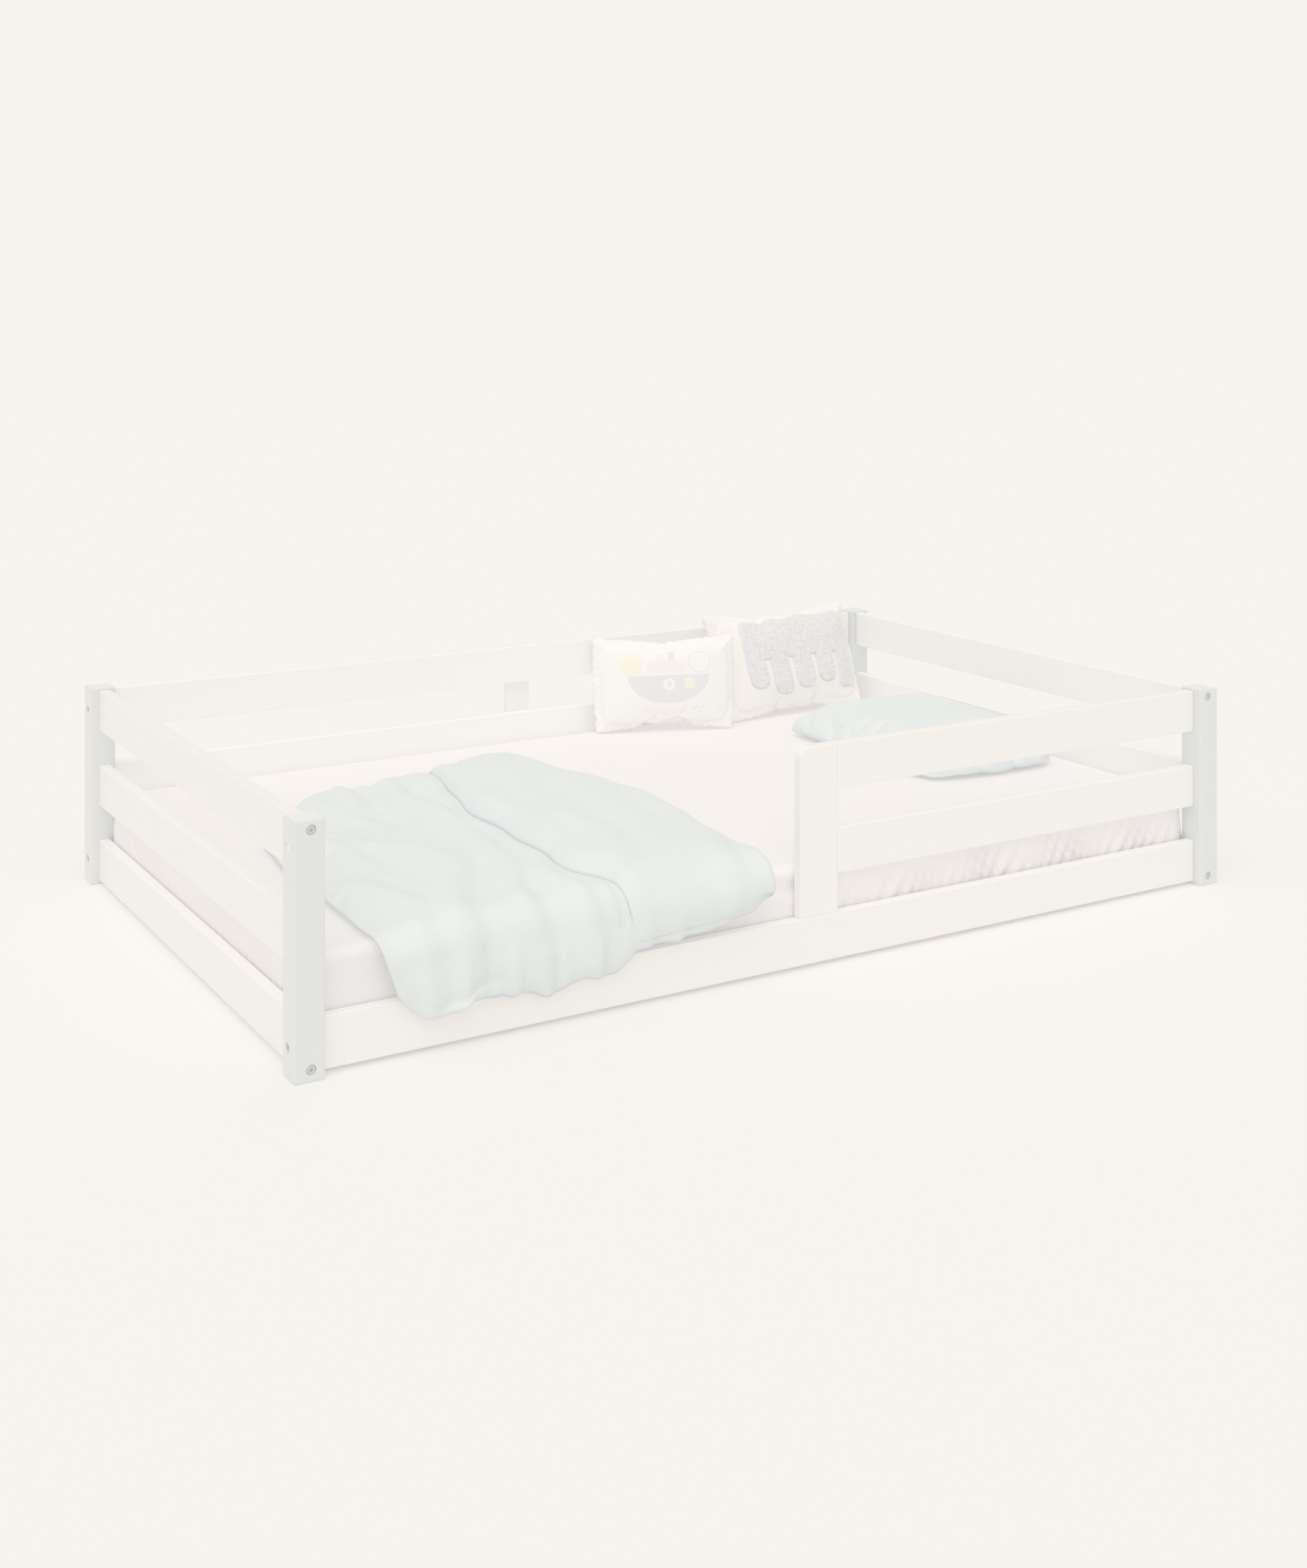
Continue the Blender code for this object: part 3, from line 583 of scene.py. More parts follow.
def makeCushion(look):
    # one cover: sewn, blown up, fitted to its size, then set in its place
    width, height = look["cover"]
    cover, flat, side, front = sewnPanels(look["name"], width, height, look["cell"])
    blowUp(cover, look["sim"], side == 0)
    points = fuller(meshPoints(cover), flat, side, look)
    low, high = points.min(axis=0), points.max(axis=0)
    points = (points - (low + high) / 2) * (np.array(look["size"]) / (high - low))
    points[:, 2] *= np.where(points[:, 2] < 0, look["settle"], 2 - look["settle"])
    points[:, 0] += look["slump"] * points[:, 1]  # the cover sags a little to one side
    points = turned(points, look["tilt"], look["turn"])
    centre = middle(look["node"])
    points[:, :2] += centre[:2] + look["shift"]
    points[:, 2] += rest["sheetTop"] + rest["gap"] - points[:, 2].min()
    points[:, 2] = softLimit(points[:, 2] - look["sink"], rest["sheetTop"] + rest["gap"])
    points[:, 1] = -softLimit(-points[:, 1], -(rest["railInnerY"] - rest["gap"]))
    setPoints(cover, points)
    creaseRim(cover, side == 0, look["rimCrease"])
    lattice = points[front]
    smoothFinish(cover)
    cover.data.materials.append(look["material"])
    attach(cover, "root")
    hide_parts(look["node"])
    print(look["name"], "filled")
    return cover, lattice


printedCushion = {
    "name": "printedCushion",
    "node": "cushion_printed",
    "slot": "cushion_linen",
    "cover": (0.386, 0.256),  # flat
    "size": (0.365, 0.238, 0.080),
    "shift": (0, 0),
    "cell": 0.0053,
    "tilt": radians(90 - 6),
    "turn": radians(-20),
    "slump": 0.0,
    "settle": 1,
    "full": 0.50,  # how far the filling pushes out towards a plain round shape
    "corners": (0.005, 0.006),  # how far the upper and the lower corners are drawn in
    "gather": 0.0045,
    "gatherPitch": 0.022,
    "gatherReach": 0.014,
    "sink": 0.004,
    "rimCrease": 0.5,
    "fill": 0.85,
    "sim": {"frames": 22, "quality": 6, "stiffness": 60, "bending": 0.004, "pressure": 3.8, "shrink": 0,
            "seamShrink": 0.035},
}

appliqueCushion = {
    "name": "appliqueCushion",
    "node": "cushion_applique",
    "slot": "cushion_cotton",
    "cover": (0.475, 0.300),
    "size": (0.452, 0.279, 0.080),
    "shift": (0, 0),
    "cell": 0.0062,
    "tilt": radians(90 - 16),
    "turn": radians(2),
    "slump": -0.09,
    "settle": 1,
    "full": 0.42,
    "corners": (0.004, 0.008),
    "gather": 0.0042,
    "gatherPitch": 0.022,
    "gatherReach": 0.014,
    "sink": 0.004,
    "rimCrease": 0.5,
    "fill": 0.75,
    "sim": {"frames": 22, "quality": 6, "stiffness": 60, "bending": 0.003, "pressure": 3.0, "shrink": 0,
            "seamShrink": 0.035},
}

sleepingPillow = {
    "name": "sleepingPillow",
    "node": "sleeping_pillow",
    "slot": "duvet_cotton",
    "cover": (0.450, 0.640),
    "size": (0.415, 0.565, 0.108),
    "shift": (0.016, 0.034),  # towards the head and the back
    "cell": 0.0085,
    "tilt": 0,
    "turn": radians(-3.5),
    "slump": 0.0,
    "settle": 0.34,  # the lower half is pressed flat on the mattress
    "full": 0.60,
    "corners": (0.010, 0.052),
    "gather": 0.0014,
    "gatherPitch": 0.027,
    "gatherReach": 0.045,
    "sink": 0.005,
    "rimCrease": 0.6,
    "fill": 0.55,
    "sim": {"frames": 20, "quality": 6, "stiffness": 60, "bending": 0.004, "pressure": 1.7, "shrink": 0,
            "seamShrink": 0.03},
}

# the print, in metres from the middle of the flat front: plain blocks and rounds in soft inks
printInks = {
    "slate": (0.745, 0.775, 0.83),
    "ochre": (0.92, 0.895, 0.72),
    "sand": (0.88, 0.87, 0.85),
    "chalk": (0.925, 0.92, 0.91),
    "line": (0.79, 0.79, 0.77),
}

printEdge = {"scale": 90, "wobble": 0.003, "cover": 0.92}  # a hand-pulled print is never quite sharp

printShapes = [
    ("block", (0.000, 0.045), (0.046, 0.0155), "sand"),
    ("block", (-0.014, 0.069), (0.010, 0.009), "sand"),
    ("block", (0.013, 0.072), (0.008, 0.012), "slate"),
    ("disc", (-0.088, 0.050), (0.026, 0.026), "ochre"),
    ("disc", (0.085, 0.054), (0.030, 0.027), "line"),
    ("disc", (0.085, 0.054), (0.0275, 0.0245), "chalk"),
    ("bowl", (0.006, 0.023), (0.104, 0.070), "slate"),
    ("disc", (-0.052, -0.002), (0.013, 0.009), "line"),
    ("disc", (0.006, 0.000), (0.015, 0.015), "chalk"),
    ("disc", (0.006, 0.000), (0.007, 0.007), "line"),
    ("disc", (0.058, 0.002), (0.0145, 0.0145), "ochre"),
    ("block", (0.074, -0.062), (0.006, 0.0016), "slate"),
    ("block", (0.094, -0.058), (0.006, 0.0016), "slate"),
    ("block", (0.089, -0.071), (0.006, 0.0016), "slate"),
]


def shapeMask(tree, u, v, kind, centre, half):
    def calc(operation, *values):
        return addMath(tree, operation, *values)

    across = calc("ABSOLUTE", calc("DIVIDE", calc("SUBTRACT", u, centre[0]), half[0]))
    up = calc("DIVIDE", calc("SUBTRACT", v, centre[1]), half[1])
    away = calc("ABSOLUTE", up)
    if kind == "block":
        return calc("LESS_THAN", calc("MAXIMUM", across, away), 1.0)
    reach = calc("ADD", calc("POWER", across, 2.0), calc("POWER", away, 2.0))
    inside = calc("LESS_THAN", reach, 1.0)
    if kind == "bowl":  # the lower half of a disc
        inside = calc("MULTIPLY", inside, calc("LESS_THAN", up, 0.0))
    return inside


def printedMaterial():
    # the colour sockets of the weave are handed on, so that the print goes under the slubs
    mat, base, tint = fabricMaterial("printedLinen", fabrics["linen"], fabrics["linenWorn"], slub=0.7)
    tree = mat.node_tree
    uv = coverCoords(tree)
    wobble = addNoise(tree, uv, printEdge["scale"], 2)
    parts = addNode(tree, "SeparateXYZ", {"Vector": uv})
    shake = addMath(tree, "MULTIPLY", addMath(tree, "SUBTRACT", wobble, 0.5), printEdge["wobble"])
    u = addMath(tree, "ADD", parts.outputs["X"], shake)
    v = addMath(tree, "ADD", parts.outputs["Y"], shake)
    frontOnly = addNode(tree, "Attribute", {}, attribute_name="frontPanel").outputs["Fac"]
    colour = base
    for kind, centre, half, ink in printShapes:
        mask = addMath(tree, "MULTIPLY", shapeMask(tree, u, v, kind, centre, half), frontOnly)
        mask = addMath(tree, "MULTIPLY", mask, printEdge["cover"])
        colour = mixColours(tree, mask, colour, printInks[ink])
    feed(tree, tint, {"A": colour})
    return mat


def markFront(cover):
    # faces that look out into the room carry the print
    outward = np.empty(len(cover.data.polygons) * 3)
    cover.data.polygons.foreach_get("normal", outward)
    centre = np.empty(len(cover.data.polygons) * 3)
    cover.data.polygons.foreach_get("center", centre)
    facing = outward.reshape(-1, 3) @ [-0.35, -0.93, 0.1] > 0
    mark = cover.data.attributes.new("frontPanel", "FLOAT", "FACE")
    mark.data.foreach_set("value", facing.astype(float))


# ---- the terry patch: a plain fringe of rounded strips, sewn on the second cushion ----

terryPatch = {
    "left": -0.142,
    "right": 0.203,
    "top": 0.126,
    "body": 0.020,  # where the strips part
    "foot": -0.078,
    "corner": 0.024,
    "strips": 5,
    "parting": 0.0075,  # half the gap between two strips
    "overlap": 0.012,  # how far the body and the strips run into each other
    "uneven": 0.014,  # in the strips' lengths
    "stripRound": 0.42,  # of a strip's width
    "cell": 0.0022,
    "pile": 0.0042,
    "pileRound": 0.004,
    "loop": 0.0011,
    "under": 0.0006,
    "edge": 0.0006,
}


def roundedBox(flat, left, right, low, high, corner):
    centre = np.array([(left + right) / 2, (low + high) / 2])
    half = np.array([(right - left) / 2, (high - low) / 2]) - corner
    away = np.abs(flat - centre) - half
    return np.linalg.norm(np.maximum(away, 0), axis=1) + np.minimum(away.max(axis=1), 0) - corner


def patchOutside(flat):
    # signed distance of flat points from the patch's outline, negative inside
    look = terryPatch
    outline = roundedBox(flat, look["left"], look["right"], look["body"] - look["overlap"], look["top"],
                         look["corner"])
    outline += waves(flat[:, 0], (0.0035, 52, 1)) * (flat[:, 1] > look["body"])  # cut by hand
    pitch = (look["right"] - look["left"] + 2 * look["parting"]) / look["strips"]
    for strip in range(look["strips"]):
        left = look["left"] + pitch * strip
        foot = look["foot"] + look["uneven"] * cos(strip * 2.4)
        right = left + pitch - 2 * look["parting"]
        one = roundedBox(flat, left, right, foot, look["top"] - 0.03, (right - left) * look["stripRound"])
        outline = np.minimum(outline, one)
    return outline


def openEdge(obj):
    # the vertices along the open edge of a panel
    bm = bmesh.new()
    bm.from_mesh(obj.data)
    edge = [vert.index for vert in bm.verts if vert.is_boundary]
    bm.free()
    return edge


def makePatch(lattice, coverSize, material):
    look = terryPatch
    width = look["right"] - look["left"] + 0.02
    height = look["top"] - look["foot"] + 0.02
    patch = addGrid("terryPatch", width, height, round(width / look["cell"]), round(height / look["cell"]))
    shift = np.array([(look["left"] + look["right"]) / 2, (look["top"] + look["foot"]) / 2])
    flat = meshPoints(patch)[:, :2] + shift
    outside = patchOutside(flat)
    keep = outside < look["cell"] * 0.5
    for face in patch.data.polygons:
        face.select = not all(keep[i] for i in face.vertices)
    activate(patch)
    bpy.context.tool_settings.mesh_select_mode = (False, False, True)
    bpy.ops.object.mode_set(mode="EDIT")
    bpy.ops.mesh.delete(type="FACE")
    bpy.ops.object.mode_set(mode="OBJECT")
    flat = meshPoints(patch)[:, :2] + shift
    step = 0.0005
    for _ in range(3):  # slide the cut edge on to the outline
        outside = patchOutside(flat)
        beyond = [patchOutside(flat + [step, 0]), patchOutside(flat + [0, step])]
        slope = (np.stack(beyond, axis=1) - outside[:, None]) / step
        near = outside > -look["cell"] * 0.6
        flat[near] -= (slope * outside[:, None])[near]
    inside = np.clip(-patchOutside(flat) / look["pileRound"], 0, 1)
    inside[openEdge(patch)] = 0
    rng = np.random.default_rng(7)
    loops = look["loop"] * rng.random(len(flat))
    lift = look["under"] + look["edge"] + look["pile"] * np.sqrt(inside) + loops * inside
    upper = onPanel(lattice, *coverSize, flat, lift)
    lower = onPanel(lattice, *coverSize, flat, np.full(len(flat), look["under"]))
    setPoints(patch, upper)
    # the underside is the same panel turned over, joined to the top by a thin edge
    inEditMode(patch, bpy.ops.mesh.duplicate, bpy.ops.mesh.flip_normals)
    setPoints(patch, np.concatenate([upper, lower]))
    bm = bmesh.new()
    bm.from_mesh(patch.data)
    bm.verts.ensure_lookup_table()
    for edge in list(bm.edges):
        loop = edge.link_loops[0]
        first, second = loop.vert.index, loop.link_loop_next.vert.index
        if edge.is_boundary and first < len(upper):
            corners = (second, first, first + len(upper), second + len(upper))
            bm.faces.new([bm.verts[i] for i in corners])
    bm.to_mesh(patch.data)
    bm.free()
    activate(patch)
    bpy.ops.object.shade_smooth()
    patch.data.materials.append(material)
    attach(patch, "root")
    print("terry patch sewn on")


def terryMaterial():
    mat, tree, bsdf = newMaterial("terry")
    place = stretchedCoords(tree)
    loops = addNode(tree, "TexVoronoi", {"Vector": place, "Scale": 420}).outputs["Distance"]
    clumps = addNoise(tree, place, 110, 5, 0.7)
    # painted shade: where the clumps' bump is low the colour goes to the darker blue, standing in for shade
    # in the hollows of the pile
    shade = addRamp(tree, clumps, -0.9, 1.9)
    coarse = addBump(tree, clumps, 0.004, 0.8)
    feed(tree, bsdf, {
        "Base Color": mixColours(tree, shade, fabrics["terryPileShade"], fabrics["terry"]),
        "Roughness": addRamp(tree, clumps, 0.85, 1.0),
        "Normal": addBump(tree, loops, 0.0016, 0.9, coarse),
        "Sheen Weight": 0.4,
        "Sheen Roughness": 0.5,
        "Specular IOR Level": 0.15,
    })
    return mat


printedCushion["material"] = printedMaterial()
appliqueCushion["material"] = plainFabric("creamCotton", fabrics["cream"], fabrics["creamWorn"])
sleepingPillow["material"] = sageCotton
markFront(makeCushion(printedCushion)[0])
appliqueLattice = makeCushion(appliqueCushion)[1]
makePatch(appliqueLattice, appliqueCushion["cover"], terryMaterial())
makeCushion(sleepingPillow)

# ---- the duvet: one filled cover, its head end folded back, hanging over the front rail ----

duvet = {
    "name": "duvetCover",
    "node": "duvet",
    "slot": "duvet_cotton",
    "width": 1.06,  # along the bed, with the part that is folded back
    "length": 1.08,  # across the bed, with the part that hangs
    "cell": 0.0105,
    "halfThick": 0.0127,
    "hangThin": 0.72,  # how much thinner it is where it hangs
    "hangClose": 0.86,  # and how much closer it lies
    "seamRound": 0.040,
    "seamLift": 0.3,
    "runShare": 0.700,  # share of the width that lies underneath
    "foldShare": 0.045,  # share of the width that goes round the fold
    "layerGap": 0.0010,
    "rimHug": 0.0040,
    "bend": 0.028,
    "frontY": -0.6275,
    # each outline by the share of the way across or along, as in a cut pattern
    "footEdge": [(0, -0.865), (0.25, -0.888), (0.56, -0.890), (0.86, -0.897), (0.93, -0.886), (1, -0.862)],
    "headEdge": [(0, -0.185), (0.04, -0.158), (0.25, -0.142), (0.45, -0.088), (0.62, -0.080), (0.75, -0.10),
                 (1, -0.110)],
    "flapEdge": [(0, -0.372), (0.10, -0.392), (0.33, -0.452), (0.62, -0.455), (0.76, -0.470), (1, -0.408)],
    "backEdge": [(0, 0.000), (0.12, 0.150), (0.23, 0.245), (0.38, 0.297), (0.58, 0.316), (0.72, 0.328),
                 (0.93, 0.346), (1, 0.330)],
    "hem": [(0, 0.114), (0.04, 0.074), (0.10, 0.047), (0.15, 0.064), (0.255, 0.074), (0.386, 0.058),
            (0.481, 0.076), (0.55, 0.065), (0.60, 0.104), (0.78, 0.112), (0.90, 0.126), (1, 0.158)],
    "flapHemRise": 0.017,
    "flapShort": 0.006,  # how much further in the flap's back edge lies
    "foldsEnd": 0.035,  # the folds below die out this close to the flap
    "billow": 0.006,
    # the hem's corner by the foot curls out and up, with a crease above it: x, half length, depth
    "curl": (-0.755, 0.065, 0.013),
    "lip": (-0.735, 0.065, 0.008),
    "rimCrease": 0.55,
    "foldDepth": 1.3,
    "creep": 0.007,  # how far the simulation may move a point
    "sim": {"frames": 16, "quality": 5, "stiffness": 40, "bending": 0.02, "pressure": 1.3, "shrink": -0.035,
            "seamShrink": 0.02},
}

# soft folds in the top of the duvet: from, to (metres on the bed), half width, height
duvetFolds = [
    ((-0.500, 0.270), (-0.520, -0.120), 0.030, 0.0065),
    ((-0.520, -0.100), (-0.560, -0.420), 0.034, 0.0060),
    ((-0.620, 0.280), (-0.640, 0.020), 0.026, 0.0060),
    ((-0.690, 0.120), (-0.655, -0.060), 0.024, 0.0045),
    ((-0.730, -0.130), (-0.630, -0.300), 0.030, 0.0055),
    ((-0.820, -0.040), (-0.770, -0.330), 0.032, 0.0060),
    ((-0.640, -0.330), (-0.740, -0.640), 0.034, 0.0085),
    ((-0.560, -0.430), (-0.630, -0.660), 0.028, 0.0080),
    ((-0.500, -0.470), (-0.530, -0.660), 0.024, 0.0070),
    ((-0.810, -0.420), (-0.800, -0.640), 0.030, 0.0080),
    ((-0.250, 0.260), (-0.330, -0.060), 0.040, 0.0050),
    ((-0.170, -0.050), (-0.260, -0.360), 0.042, 0.0050),
    ((-0.330, -0.240), (-0.380, -0.520), 0.036, 0.0055),
    ((-0.150, -0.420), (-0.210, -0.640), 0.032, 0.0065),
]


def between(stops, share, ease=0.05):
    # between the stops, with their corners eased
    at, value = zip(*stops)
    total = sum(np.interp(np.clip(share + ease * k / 3, 0, 1), at, value) for k in range(-3, 4))
    return total / 7


def foldHeights(x, y):
    height = np.zeros(len(x))
    for number, (start, end, half, tall) in enumerate(duvetFolds):
        along = np.array(end) - start
        span = np.hypot(*along)
        along /= span
        s = (x - start[0]) * along[0] + (y - start[1]) * along[1]
        sway = waves(s / span, (0.012, 5, number * 1.7))  # a fold never runs quite straight
        off = (x - start[0]) * -along[1] + (y - start[1]) * along[0] + sway
        ends = 1 / (1 + np.exp(-(s + 0.01) / 0.022)) / (1 + np.exp(-(span - s + 0.01) / 0.022))
        crest = np.exp(-(off / half) ** 2) - 0.55 * np.exp(-((off - half * 1.25) / (half * 0.6)) ** 2)
        height += tall * crest * ends
    return height


def alongBed(s, t):
    # the fold in the cover's width: x, the flap's edge, which layer, and how far round the fold
    look = duvet
    foldEnd = look["runShare"] + look["foldShare"]
    under, over = s <= look["runShare"], s >= foldEnd
    isFlap = np.clip((s - look["runShare"]) / look["foldShare"], 0, 1)
    footX, headX = between(look["footEdge"], t), between(look["headEdge"], t)
    flapX = between(look["flapEdge"], t) + waves(t, (0.004, 31, 0)) * np.clip(t * 4, 0, 1)
    foldX = headX - look["layerGap"] / 2 - 2 * look["halfThick"]
    turnRadius = look["halfThick"] + look["layerGap"] / 2
    x = np.where(under, footX + (foldX - footX) * s / look["runShare"],
                 np.where(over, foldX - (foldX - flapX) * (s - foldEnd) / (1 - foldEnd),
                          foldX + turnRadius * np.sin(isFlap * pi)))
    share = np.clip((x - footX) / (headX - footX), 0, 1)
    return x, share, flapX, under, over, isFlap


def overRail(x, share, t, isFlap):
    # every line across the bed: a flat run, the bend over the mattress's edge, and what hangs
    look = duvet
    ruffle = waves(x, (1, 74, 0.6), (0.7, 117, 2.1), (0.5, 190, 0)) / 2.2
    drop = rest["sheetTop"] + rest["gap"] - between(look["hem"], share, 0.012)
    hemWave = ruffle * np.where(share > 0.56, 0.0035, 0.0060)
    drop = drop + hemWave * (1 - 0.6 * isFlap) - look["flapHemRise"] * isFlap
    reach = between(look["backEdge"], share, 0.03) + waves(x, (0.004, 62, 0), (0.003, 103, 1))
    reach = reach - look["flapShort"] * isFlap
    flatRun = reach - (look["frontY"] + look["bend"])
    bendTurn = np.where(drop < look["bend"], np.arccos(np.clip(1 - drop / look["bend"], -1, 1)), pi / 2)
    hang = np.maximum(drop - look["bend"], 0)
    run = t * (flatRun + look["bend"] * bendTurn + hang)
    angle = np.clip((run - flatRun) / look["bend"], 0, bendTurn)
    down = np.clip(run - flatRun - look["bend"] * bendTurn, 0, None)
    return ruffle, reach - np.minimum(run, flatRun), angle, down, hang


def duvetPlaces(flat, side):
    # where each point of the flat cover lies on the bed, before the simulation
    look = duvet
    s = np.clip(flat[:, 0] / look["width"] + 0.5, 0, 1)
    t = np.clip(0.5 - flat[:, 1] / look["length"], 0, 1)  # 0 at the back edge, 1 at the hem
    x, share, flapX, under, over, isFlap = alongBed(s, t)
    ruffle, y, angle, down, hang = overRail(x, share, t, isFlap)
    inward = rimDistance(flat, look["width"], look["length"])
    full = np.sqrt(1 - (1 - np.clip(inward / look["seamRound"], 0, 1)) ** 2)

    # thickness, and how high the middle of the layer lies over the sheet
    layer = 2 * look["halfThick"] + look["layerGap"]
    turnAngle = isFlap * pi
    hanging = np.clip(angle / (pi / 2), 0, 1)
    thick = look["halfThick"] * full * (1 + (look["hangThin"] - 1) * hanging)
    hug = look["rimHug"] * (1 - full)  # the flap's edge lies down on the layer below
    lift = np.where(under, look["halfThick"] + look["seamLift"] * (thick - look["halfThick"]),
                    np.where(over, layer + thick - hug,
                             look["halfThick"] + layer / 2 * (1 - np.cos(turnAngle))))
    lift = lift * (1 + (look["hangClose"] - 1) * hanging)
    outX = np.where(under | over, 0, np.sin(turnAngle))
    outward = np.where(under, -1, np.where(over, 1, -np.cos(turnAngle)))
    x = x - side * thick * outX
    height = lift - side * thick * outward

    # the soft folds, only where a panel looks up into the room
    upward = np.where(under & (x < flapX - 0.01), side > 0, (s > look["runShare"] + 0.01) & (side < 0))
    fade = np.clip(full * 1.2, 0, 1) * (1 - 0.35 * hanging)
    fade = fade * np.where(under, np.clip((flapX - x) / look["foldsEnd"], 0, 1), 1)
    broad = 0.0022 * np.sin(x * 21 + y * 13) + 0.0016 * np.sin(x * 37 - y * 29 + 1.3)
    height = height + np.where(upward, (look["foldDepth"] * foldHeights(x, y) + broad) * fade, 0)
    billow = hanging * np.clip(down / 0.05 + 0.25, 0, 1) * look["billow"]
    billow = billow * (1 + ruffle) * (1 - 0.5 * isFlap)
    height = height + billow * np.where(over | (side > 0), 1.0, 0.8)

    middleX, half, depth = look["curl"]
    curl = np.exp(-((x - middleX) / half) ** 2) * np.clip((down - hang) / 0.030 + 1, 0, 1) * (1 - isFlap)
    height = height + depth * curl
    middleX, half, depth = look["lip"]
    toCrease = (hang - down - 0.024) / 0.009
    lip = np.exp(-((x - middleX) / half) ** 2 - toCrease ** 2) * (1 - isFlap)
    height = height - depth * lip
    down = down - 0.010 * curl

    # set it on the bed: flat run, bend, hang
    bendY = look["frontY"] + look["bend"]
    top = rest["sheetTop"] + rest["gap"]
    radius = look["bend"] + height
    y = np.where(angle > 0, bendY - radius * np.sin(angle), y)
    z = np.where(angle > 0, top - look["bend"] + radius * np.cos(angle), top + height)
    return np.column_stack([x, y, z - down]), upward


def makeDuvet(material):
    look = duvet
    cover, flat, side, _ = sewnPanels(look["name"], look["width"], look["length"], look["cell"])
    start, upward = duvetPlaces(flat, side)
    setPoints(cover, start)
    blowUp(cover, look["sim"], side == 0)
    points = meshPoints(cover)
    move = points - start
    far = np.linalg.norm(move, axis=1)
    allowed = look["creep"] * np.tanh(far / look["creep"]) / np.maximum(far, 1e-9)
    setPoints(cover, start + move * (allowed * upward)[:, None])
    creaseRim(cover, side == 0, look["rimCrease"])
    smoothFinish(cover)
    cover.data.materials.append(material)
    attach(cover, "root")
    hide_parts(look["node"])
    print("duvet laid out")


makeDuvet(sageCotton)

# ---- mattress and fitted sheet: a grid on top, then rings round the sides ----

bedding = {
    "gridCells": (216, 130),
    "topRound": 0.020,
    "cornerRound": 0.040,
    "footRound": 0.014,  # the rounding of the lower edge
    "sideRows": 11,
    "pullIn": 0.0165,  # how far the soft sides draw in between top and bottom
    "bottom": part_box("mattress")[0][2] + 0.0004,
}

fittedSheet = {
    "cloth": 0.0011,
    "creaseDepth": 0.0125,
    "creasePitch": 0.029,
    "topDip": 0.0010,
    "hemTurn": 62,  # degrees that the hem goes round the lower edge
}


def roundedOutline(share, halfX, halfY, radius):
    # points and outward normals on a rectangle with round corners, by the share of its length
    straight = [2 * (halfX - radius), 2 * (halfY - radius)] * 2
    arc = pi / 2 * radius
    along = np.array([[1, 0], [0, 1], [-1, 0], [0, -1]])
    outward = np.array([[0, -1], [1, 0], [0, 1], [-1, 0]])
    corners = np.array([[1, -1], [1, 1], [-1, 1], [-1, -1]]) * [halfX - radius, halfY - radius]
    at = (share % 1) * (sum(straight) + 4 * arc)
    place, normal = np.zeros((len(share), 2)), np.zeros((len(share), 2))
    begin = 0
    for q in range(4):
        run = at - begin
        here = (run >= -1e-9) & (run <= straight[q])
        place[here] = corners[q] + np.outer(run[here] - straight[q], along[q]) + outward[q] * radius
        normal[here] = outward[q]
        run = run - straight[q]
        here = (run > 0) & (run < arc + 1e-9)
        turn = run[here] / radius
        direction = np.outer(np.cos(turn), outward[q]) + np.outer(np.sin(turn), along[q])
        place[here] = corners[q] + direction * radius
        normal[here] = direction
        begin += straight[q] + arc
    return place, normal


def slabRows(top, bottom, hemTurn):
    # (inset, height, corner radius) of every ring, from the top's edge down to the hem
    round1, round2, corner = bedding["topRound"], bedding["footRound"], bedding["cornerRound"]
    rows = [(corner + 0.004, top, 0.002), (corner * 0.75, top, corner * 0.3), (round1, top, corner * 0.55)]
    for step in range(1, 7):
        turn = step / 6 * pi / 2
        rows.append((round1 * (1 - sin(turn)), top - round1 * (1 - cos(turn)),
                     corner * (0.55 + 0.45 * step / 6)))
    high, low = top - round1, bottom + round2
    for step in range(1, bedding["sideRows"] + 1):
        rows.append((0, high + (low - high) * step / bedding["sideRows"], corner))
    for step in range(1, 5):
        turn = step / 4 * radians(hemTurn)
        rows.append((round2 * (1 - cos(turn)), low - round2 * sin(turn), corner))
    return rows


def sideGive(x, y, z, normal, top, bottom):
    # how far the soft side draws in, and the puckers that the elastic pulls into the sheet
    share = np.clip((top - z) / (top - bottom), 0, 1)
    belly = np.sin(share * pi) ** 0.5
    around = np.where(np.abs(normal[:, 1]) > 0.7, x, y + 5)
    strongest = 0.12 + 0.88 * (0.5 + waves(around, (0.5, 2.1, 0.1))) ** 2  # towards the head
    slant = around - 0.5 * z + waves(around, (0.010, 19, 0), (0.006, 43, 1))
    pucker = 0.5 + 0.5 * np.sin(2 * pi * slant / fittedSheet["creasePitch"])
    pucker = pucker ** 1.4 * (0.7 + waves(around, (0.3, 31, 0.5)))
    low = share - 0.38 - waves(around, (0.08, 9, 0))
    grow = 1 / (1 + np.exp(-low / 0.09)) * np.clip((1 - share) / 0.10, 0, 1)
    sag = 0.4 * np.exp(-((share - 0.35) / 0.12) ** 2) * (0.5 + waves(around, (0.5, 11, 2)))
    return belly, pucker * grow * strongest + sag


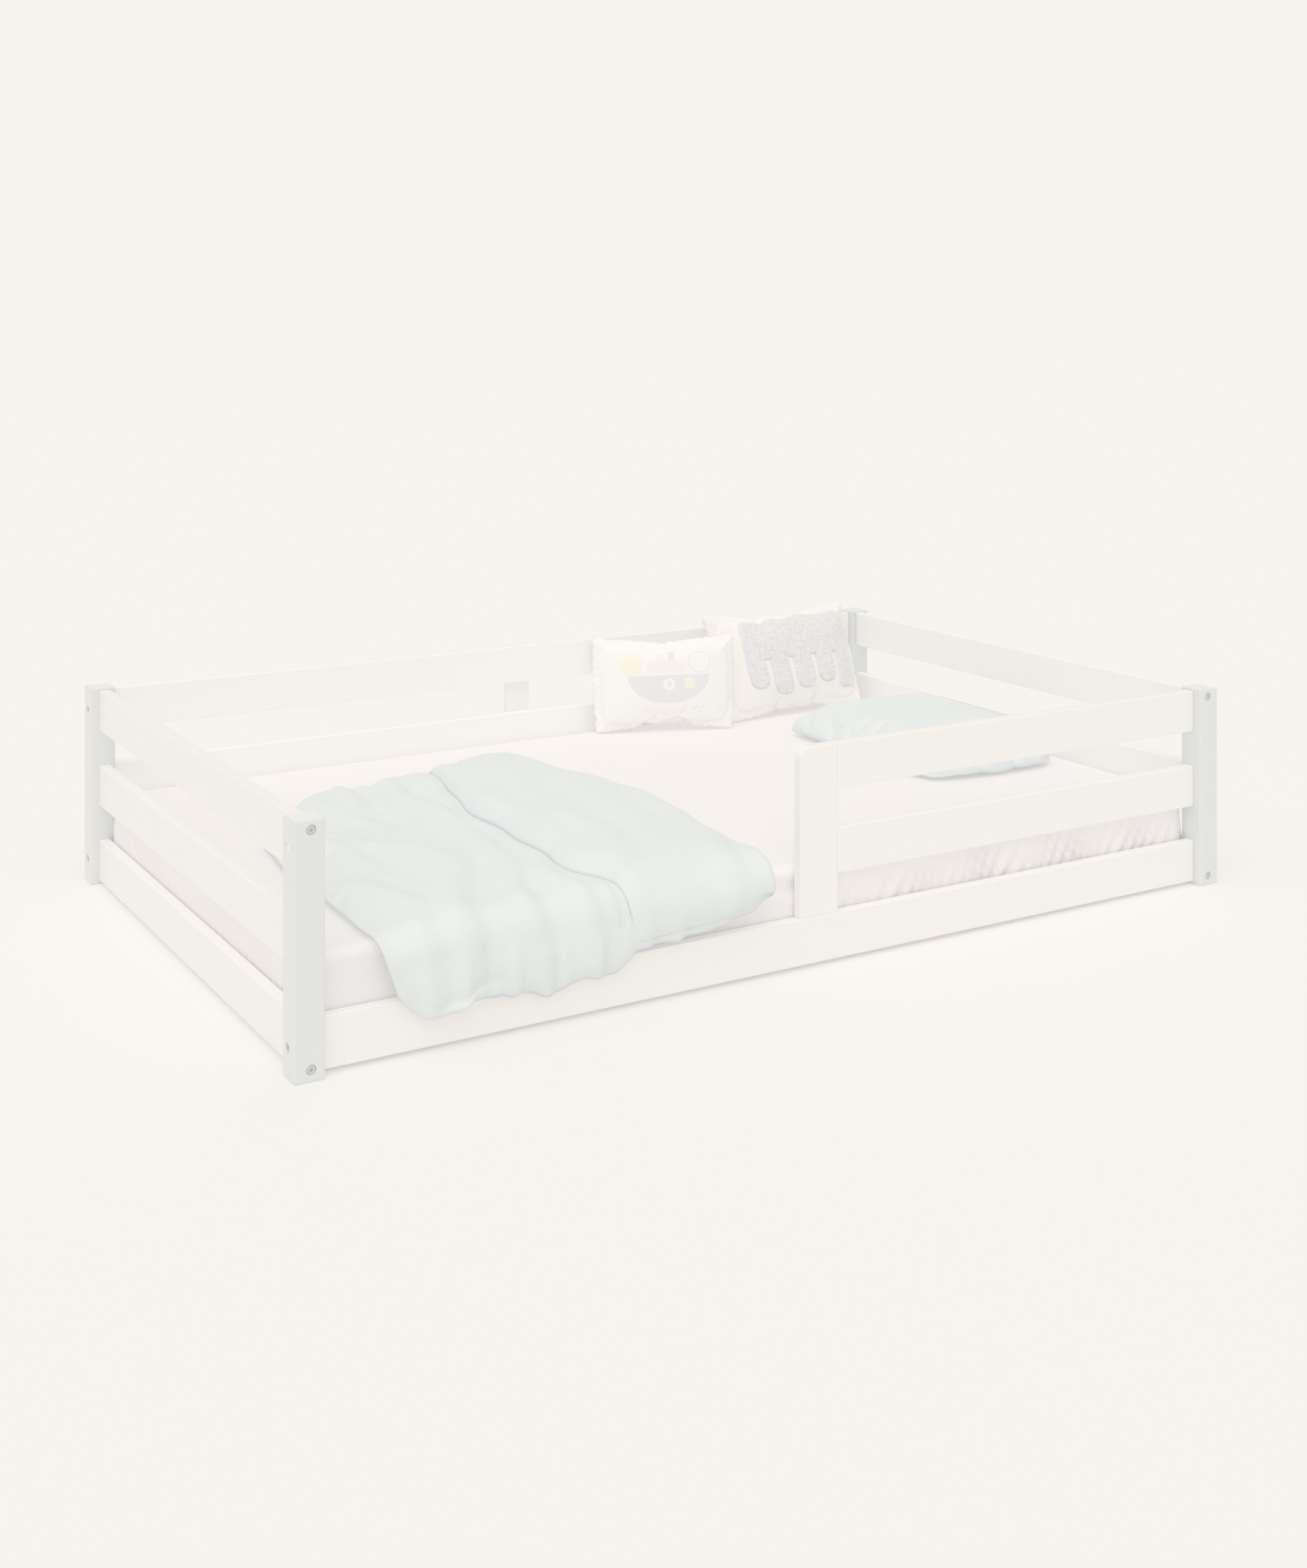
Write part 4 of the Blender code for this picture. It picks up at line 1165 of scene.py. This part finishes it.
def makeSlab(name, low, high, top, bottom, hemTurn, creased):
    halfX, halfY = high[0], high[1]
    rows = slabRows(top, bottom, hemTurn)
    inset = rows[0][0]
    across, up = bedding["gridCells"]
    slab = addGrid(name, 2 * (halfX - inset), 2 * (halfY - inset), across, up)
    points = meshPoints(slab)
    hx, hy = halfX - inset, halfY - inset
    edge = np.nonzero(rimDistance(points, 2 * hx, 2 * hy) < 1e-6)[0]
    x, y = points[edge, 0], points[edge, 1]
    run = np.where(np.abs(y + hy) < 1e-6, x + hx, np.where(np.abs(x - hx) < 1e-6, 2 * hx + y + hy,
                   np.where(np.abs(y - hy) < 1e-6, 3 * hx + 2 * hy - x, 4 * hx + 3 * hy - y)))
    order = np.argsort(run)
    edge, share = edge[order], run[order] / (4 * (hx + hy))
    dip = np.sin(points[:, 0] * 9 + points[:, 1] * 5) * np.sin(points[:, 1] * 7 - 1) - 1
    dip *= fittedSheet["topDip"]
    points[:, 2] = top + dip * np.clip(rimDistance(points, 2 * hx, 2 * hy) / 0.1, 0, 1)
    bm = bmesh.new()
    bm.from_mesh(slab.data)
    bm.verts.ensure_lookup_table()
    for vert, place in zip(bm.verts, points):
        vert.co = place
    cover = bm.loops.layers.uv.active
    ring = [bm.verts[i] for i in edge]
    last = points[edge]
    drape = np.zeros(len(ring))
    length = 4 * (halfX + halfY)
    for inward, z, radius in rows[1:]:
        place, normal = roundedOutline(share, halfX - inward, halfY - inward, radius)
        belly, pucker = sideGive(place[:, 0], place[:, 1], np.full(len(share), z), normal, top, bottom)
        give = bedding["pullIn"] * belly if not creased else fittedSheet["creaseDepth"] * pucker
        give = give * np.clip((top - bedding["topRound"] * 0.4 - z) / 0.02, 0, 1)
        place = place - normal * give[:, None]
        here = np.column_stack([place, np.full(len(share), z)])
        below = drape + np.linalg.norm(here - last, axis=1)
        fresh = [bm.verts.new(p) for p in here]
        for k in range(len(ring)):
            n = (k + 1) % len(ring)
            face = bm.faces.new((ring[k], fresh[k], fresh[n], ring[n]))
            ends = (share[k], share[k], share[n] if n else 1.0, share[n] if n else 1.0)
            for loop, u, v in zip(face.loops, ends, (drape[k], below[k], below[n], drape[n])):
                loop[cover].uv = (u * length, v)
        ring, last, drape = fresh, here, below
    if not creased:
        bm.faces.new(ring)
    bm.normal_update()
    bm.to_mesh(slab.data)
    bm.free()
    activate(slab)
    bpy.ops.object.shade_smooth()
    return slab


def quiltedTicking():
    # the mattress's own cover: knitted ticking quilted in plain diamonds
    mat = plainFabric("quiltedTicking", fabrics["ticking"], fabrics["tickingWorn"], pitch=0.0016)
    tree = mat.node_tree
    uv = coverCoords(tree)
    channels = []
    for angle in (45, -45):
        lying = addNode(tree, "Mapping", {"Rotation": (0, 0, radians(angle)), "Vector": uv})
        wave = addNode(tree, "TexWave", {"Scale": 2.6, "Vector": lying.outputs["Vector"]})
        channels.append(wave.outputs["Fac"])
    quilt = addMath(tree, "POWER", addMath(tree, "MULTIPLY", *channels), 0.35)
    bsdf = tree.nodes["Principled BSDF"]
    woven = bsdf.inputs["Normal"].links[0].from_socket
    feed(tree, bsdf, {"Normal": addBump(tree, quilt, 0.006, 0.8, woven)})
    return mat


def makeBedding():
    low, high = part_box("fitted_sheet")
    core = makeSlab("mattressCore", low, [h - 0.0022 for h in high],
                    rest["sheetTop"] - fittedSheet["cloth"] - 2 * fittedSheet["topDip"] - 0.0006,
                    bedding["bottom"], 90, False)
    core.data.materials.append(quiltedTicking())
    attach(core, "root")
    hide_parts("mattress")
    print("mattress filled")

    sheet = makeSlab("fittedSheet", low, high, rest["sheetTop"], bedding["bottom"] + 0.0016,
                     fittedSheet["hemTurn"], True)
    thickness = sheet.modifiers.new("cloth", "SOLIDIFY")
    thickness.thickness = fittedSheet["cloth"]
    thickness.offset = -1
    applyModifiers(sheet)
    bpy.ops.object.shade_smooth()
    sheet.data.materials.append(plainFabric("sheetCotton", fabrics["sheet"], fabrics["sheetWorn"],
                                            pitch=0.0007))
    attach(sheet, "root")
    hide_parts("fitted_sheet")
    print("fitted sheet stretched")


makeBedding()
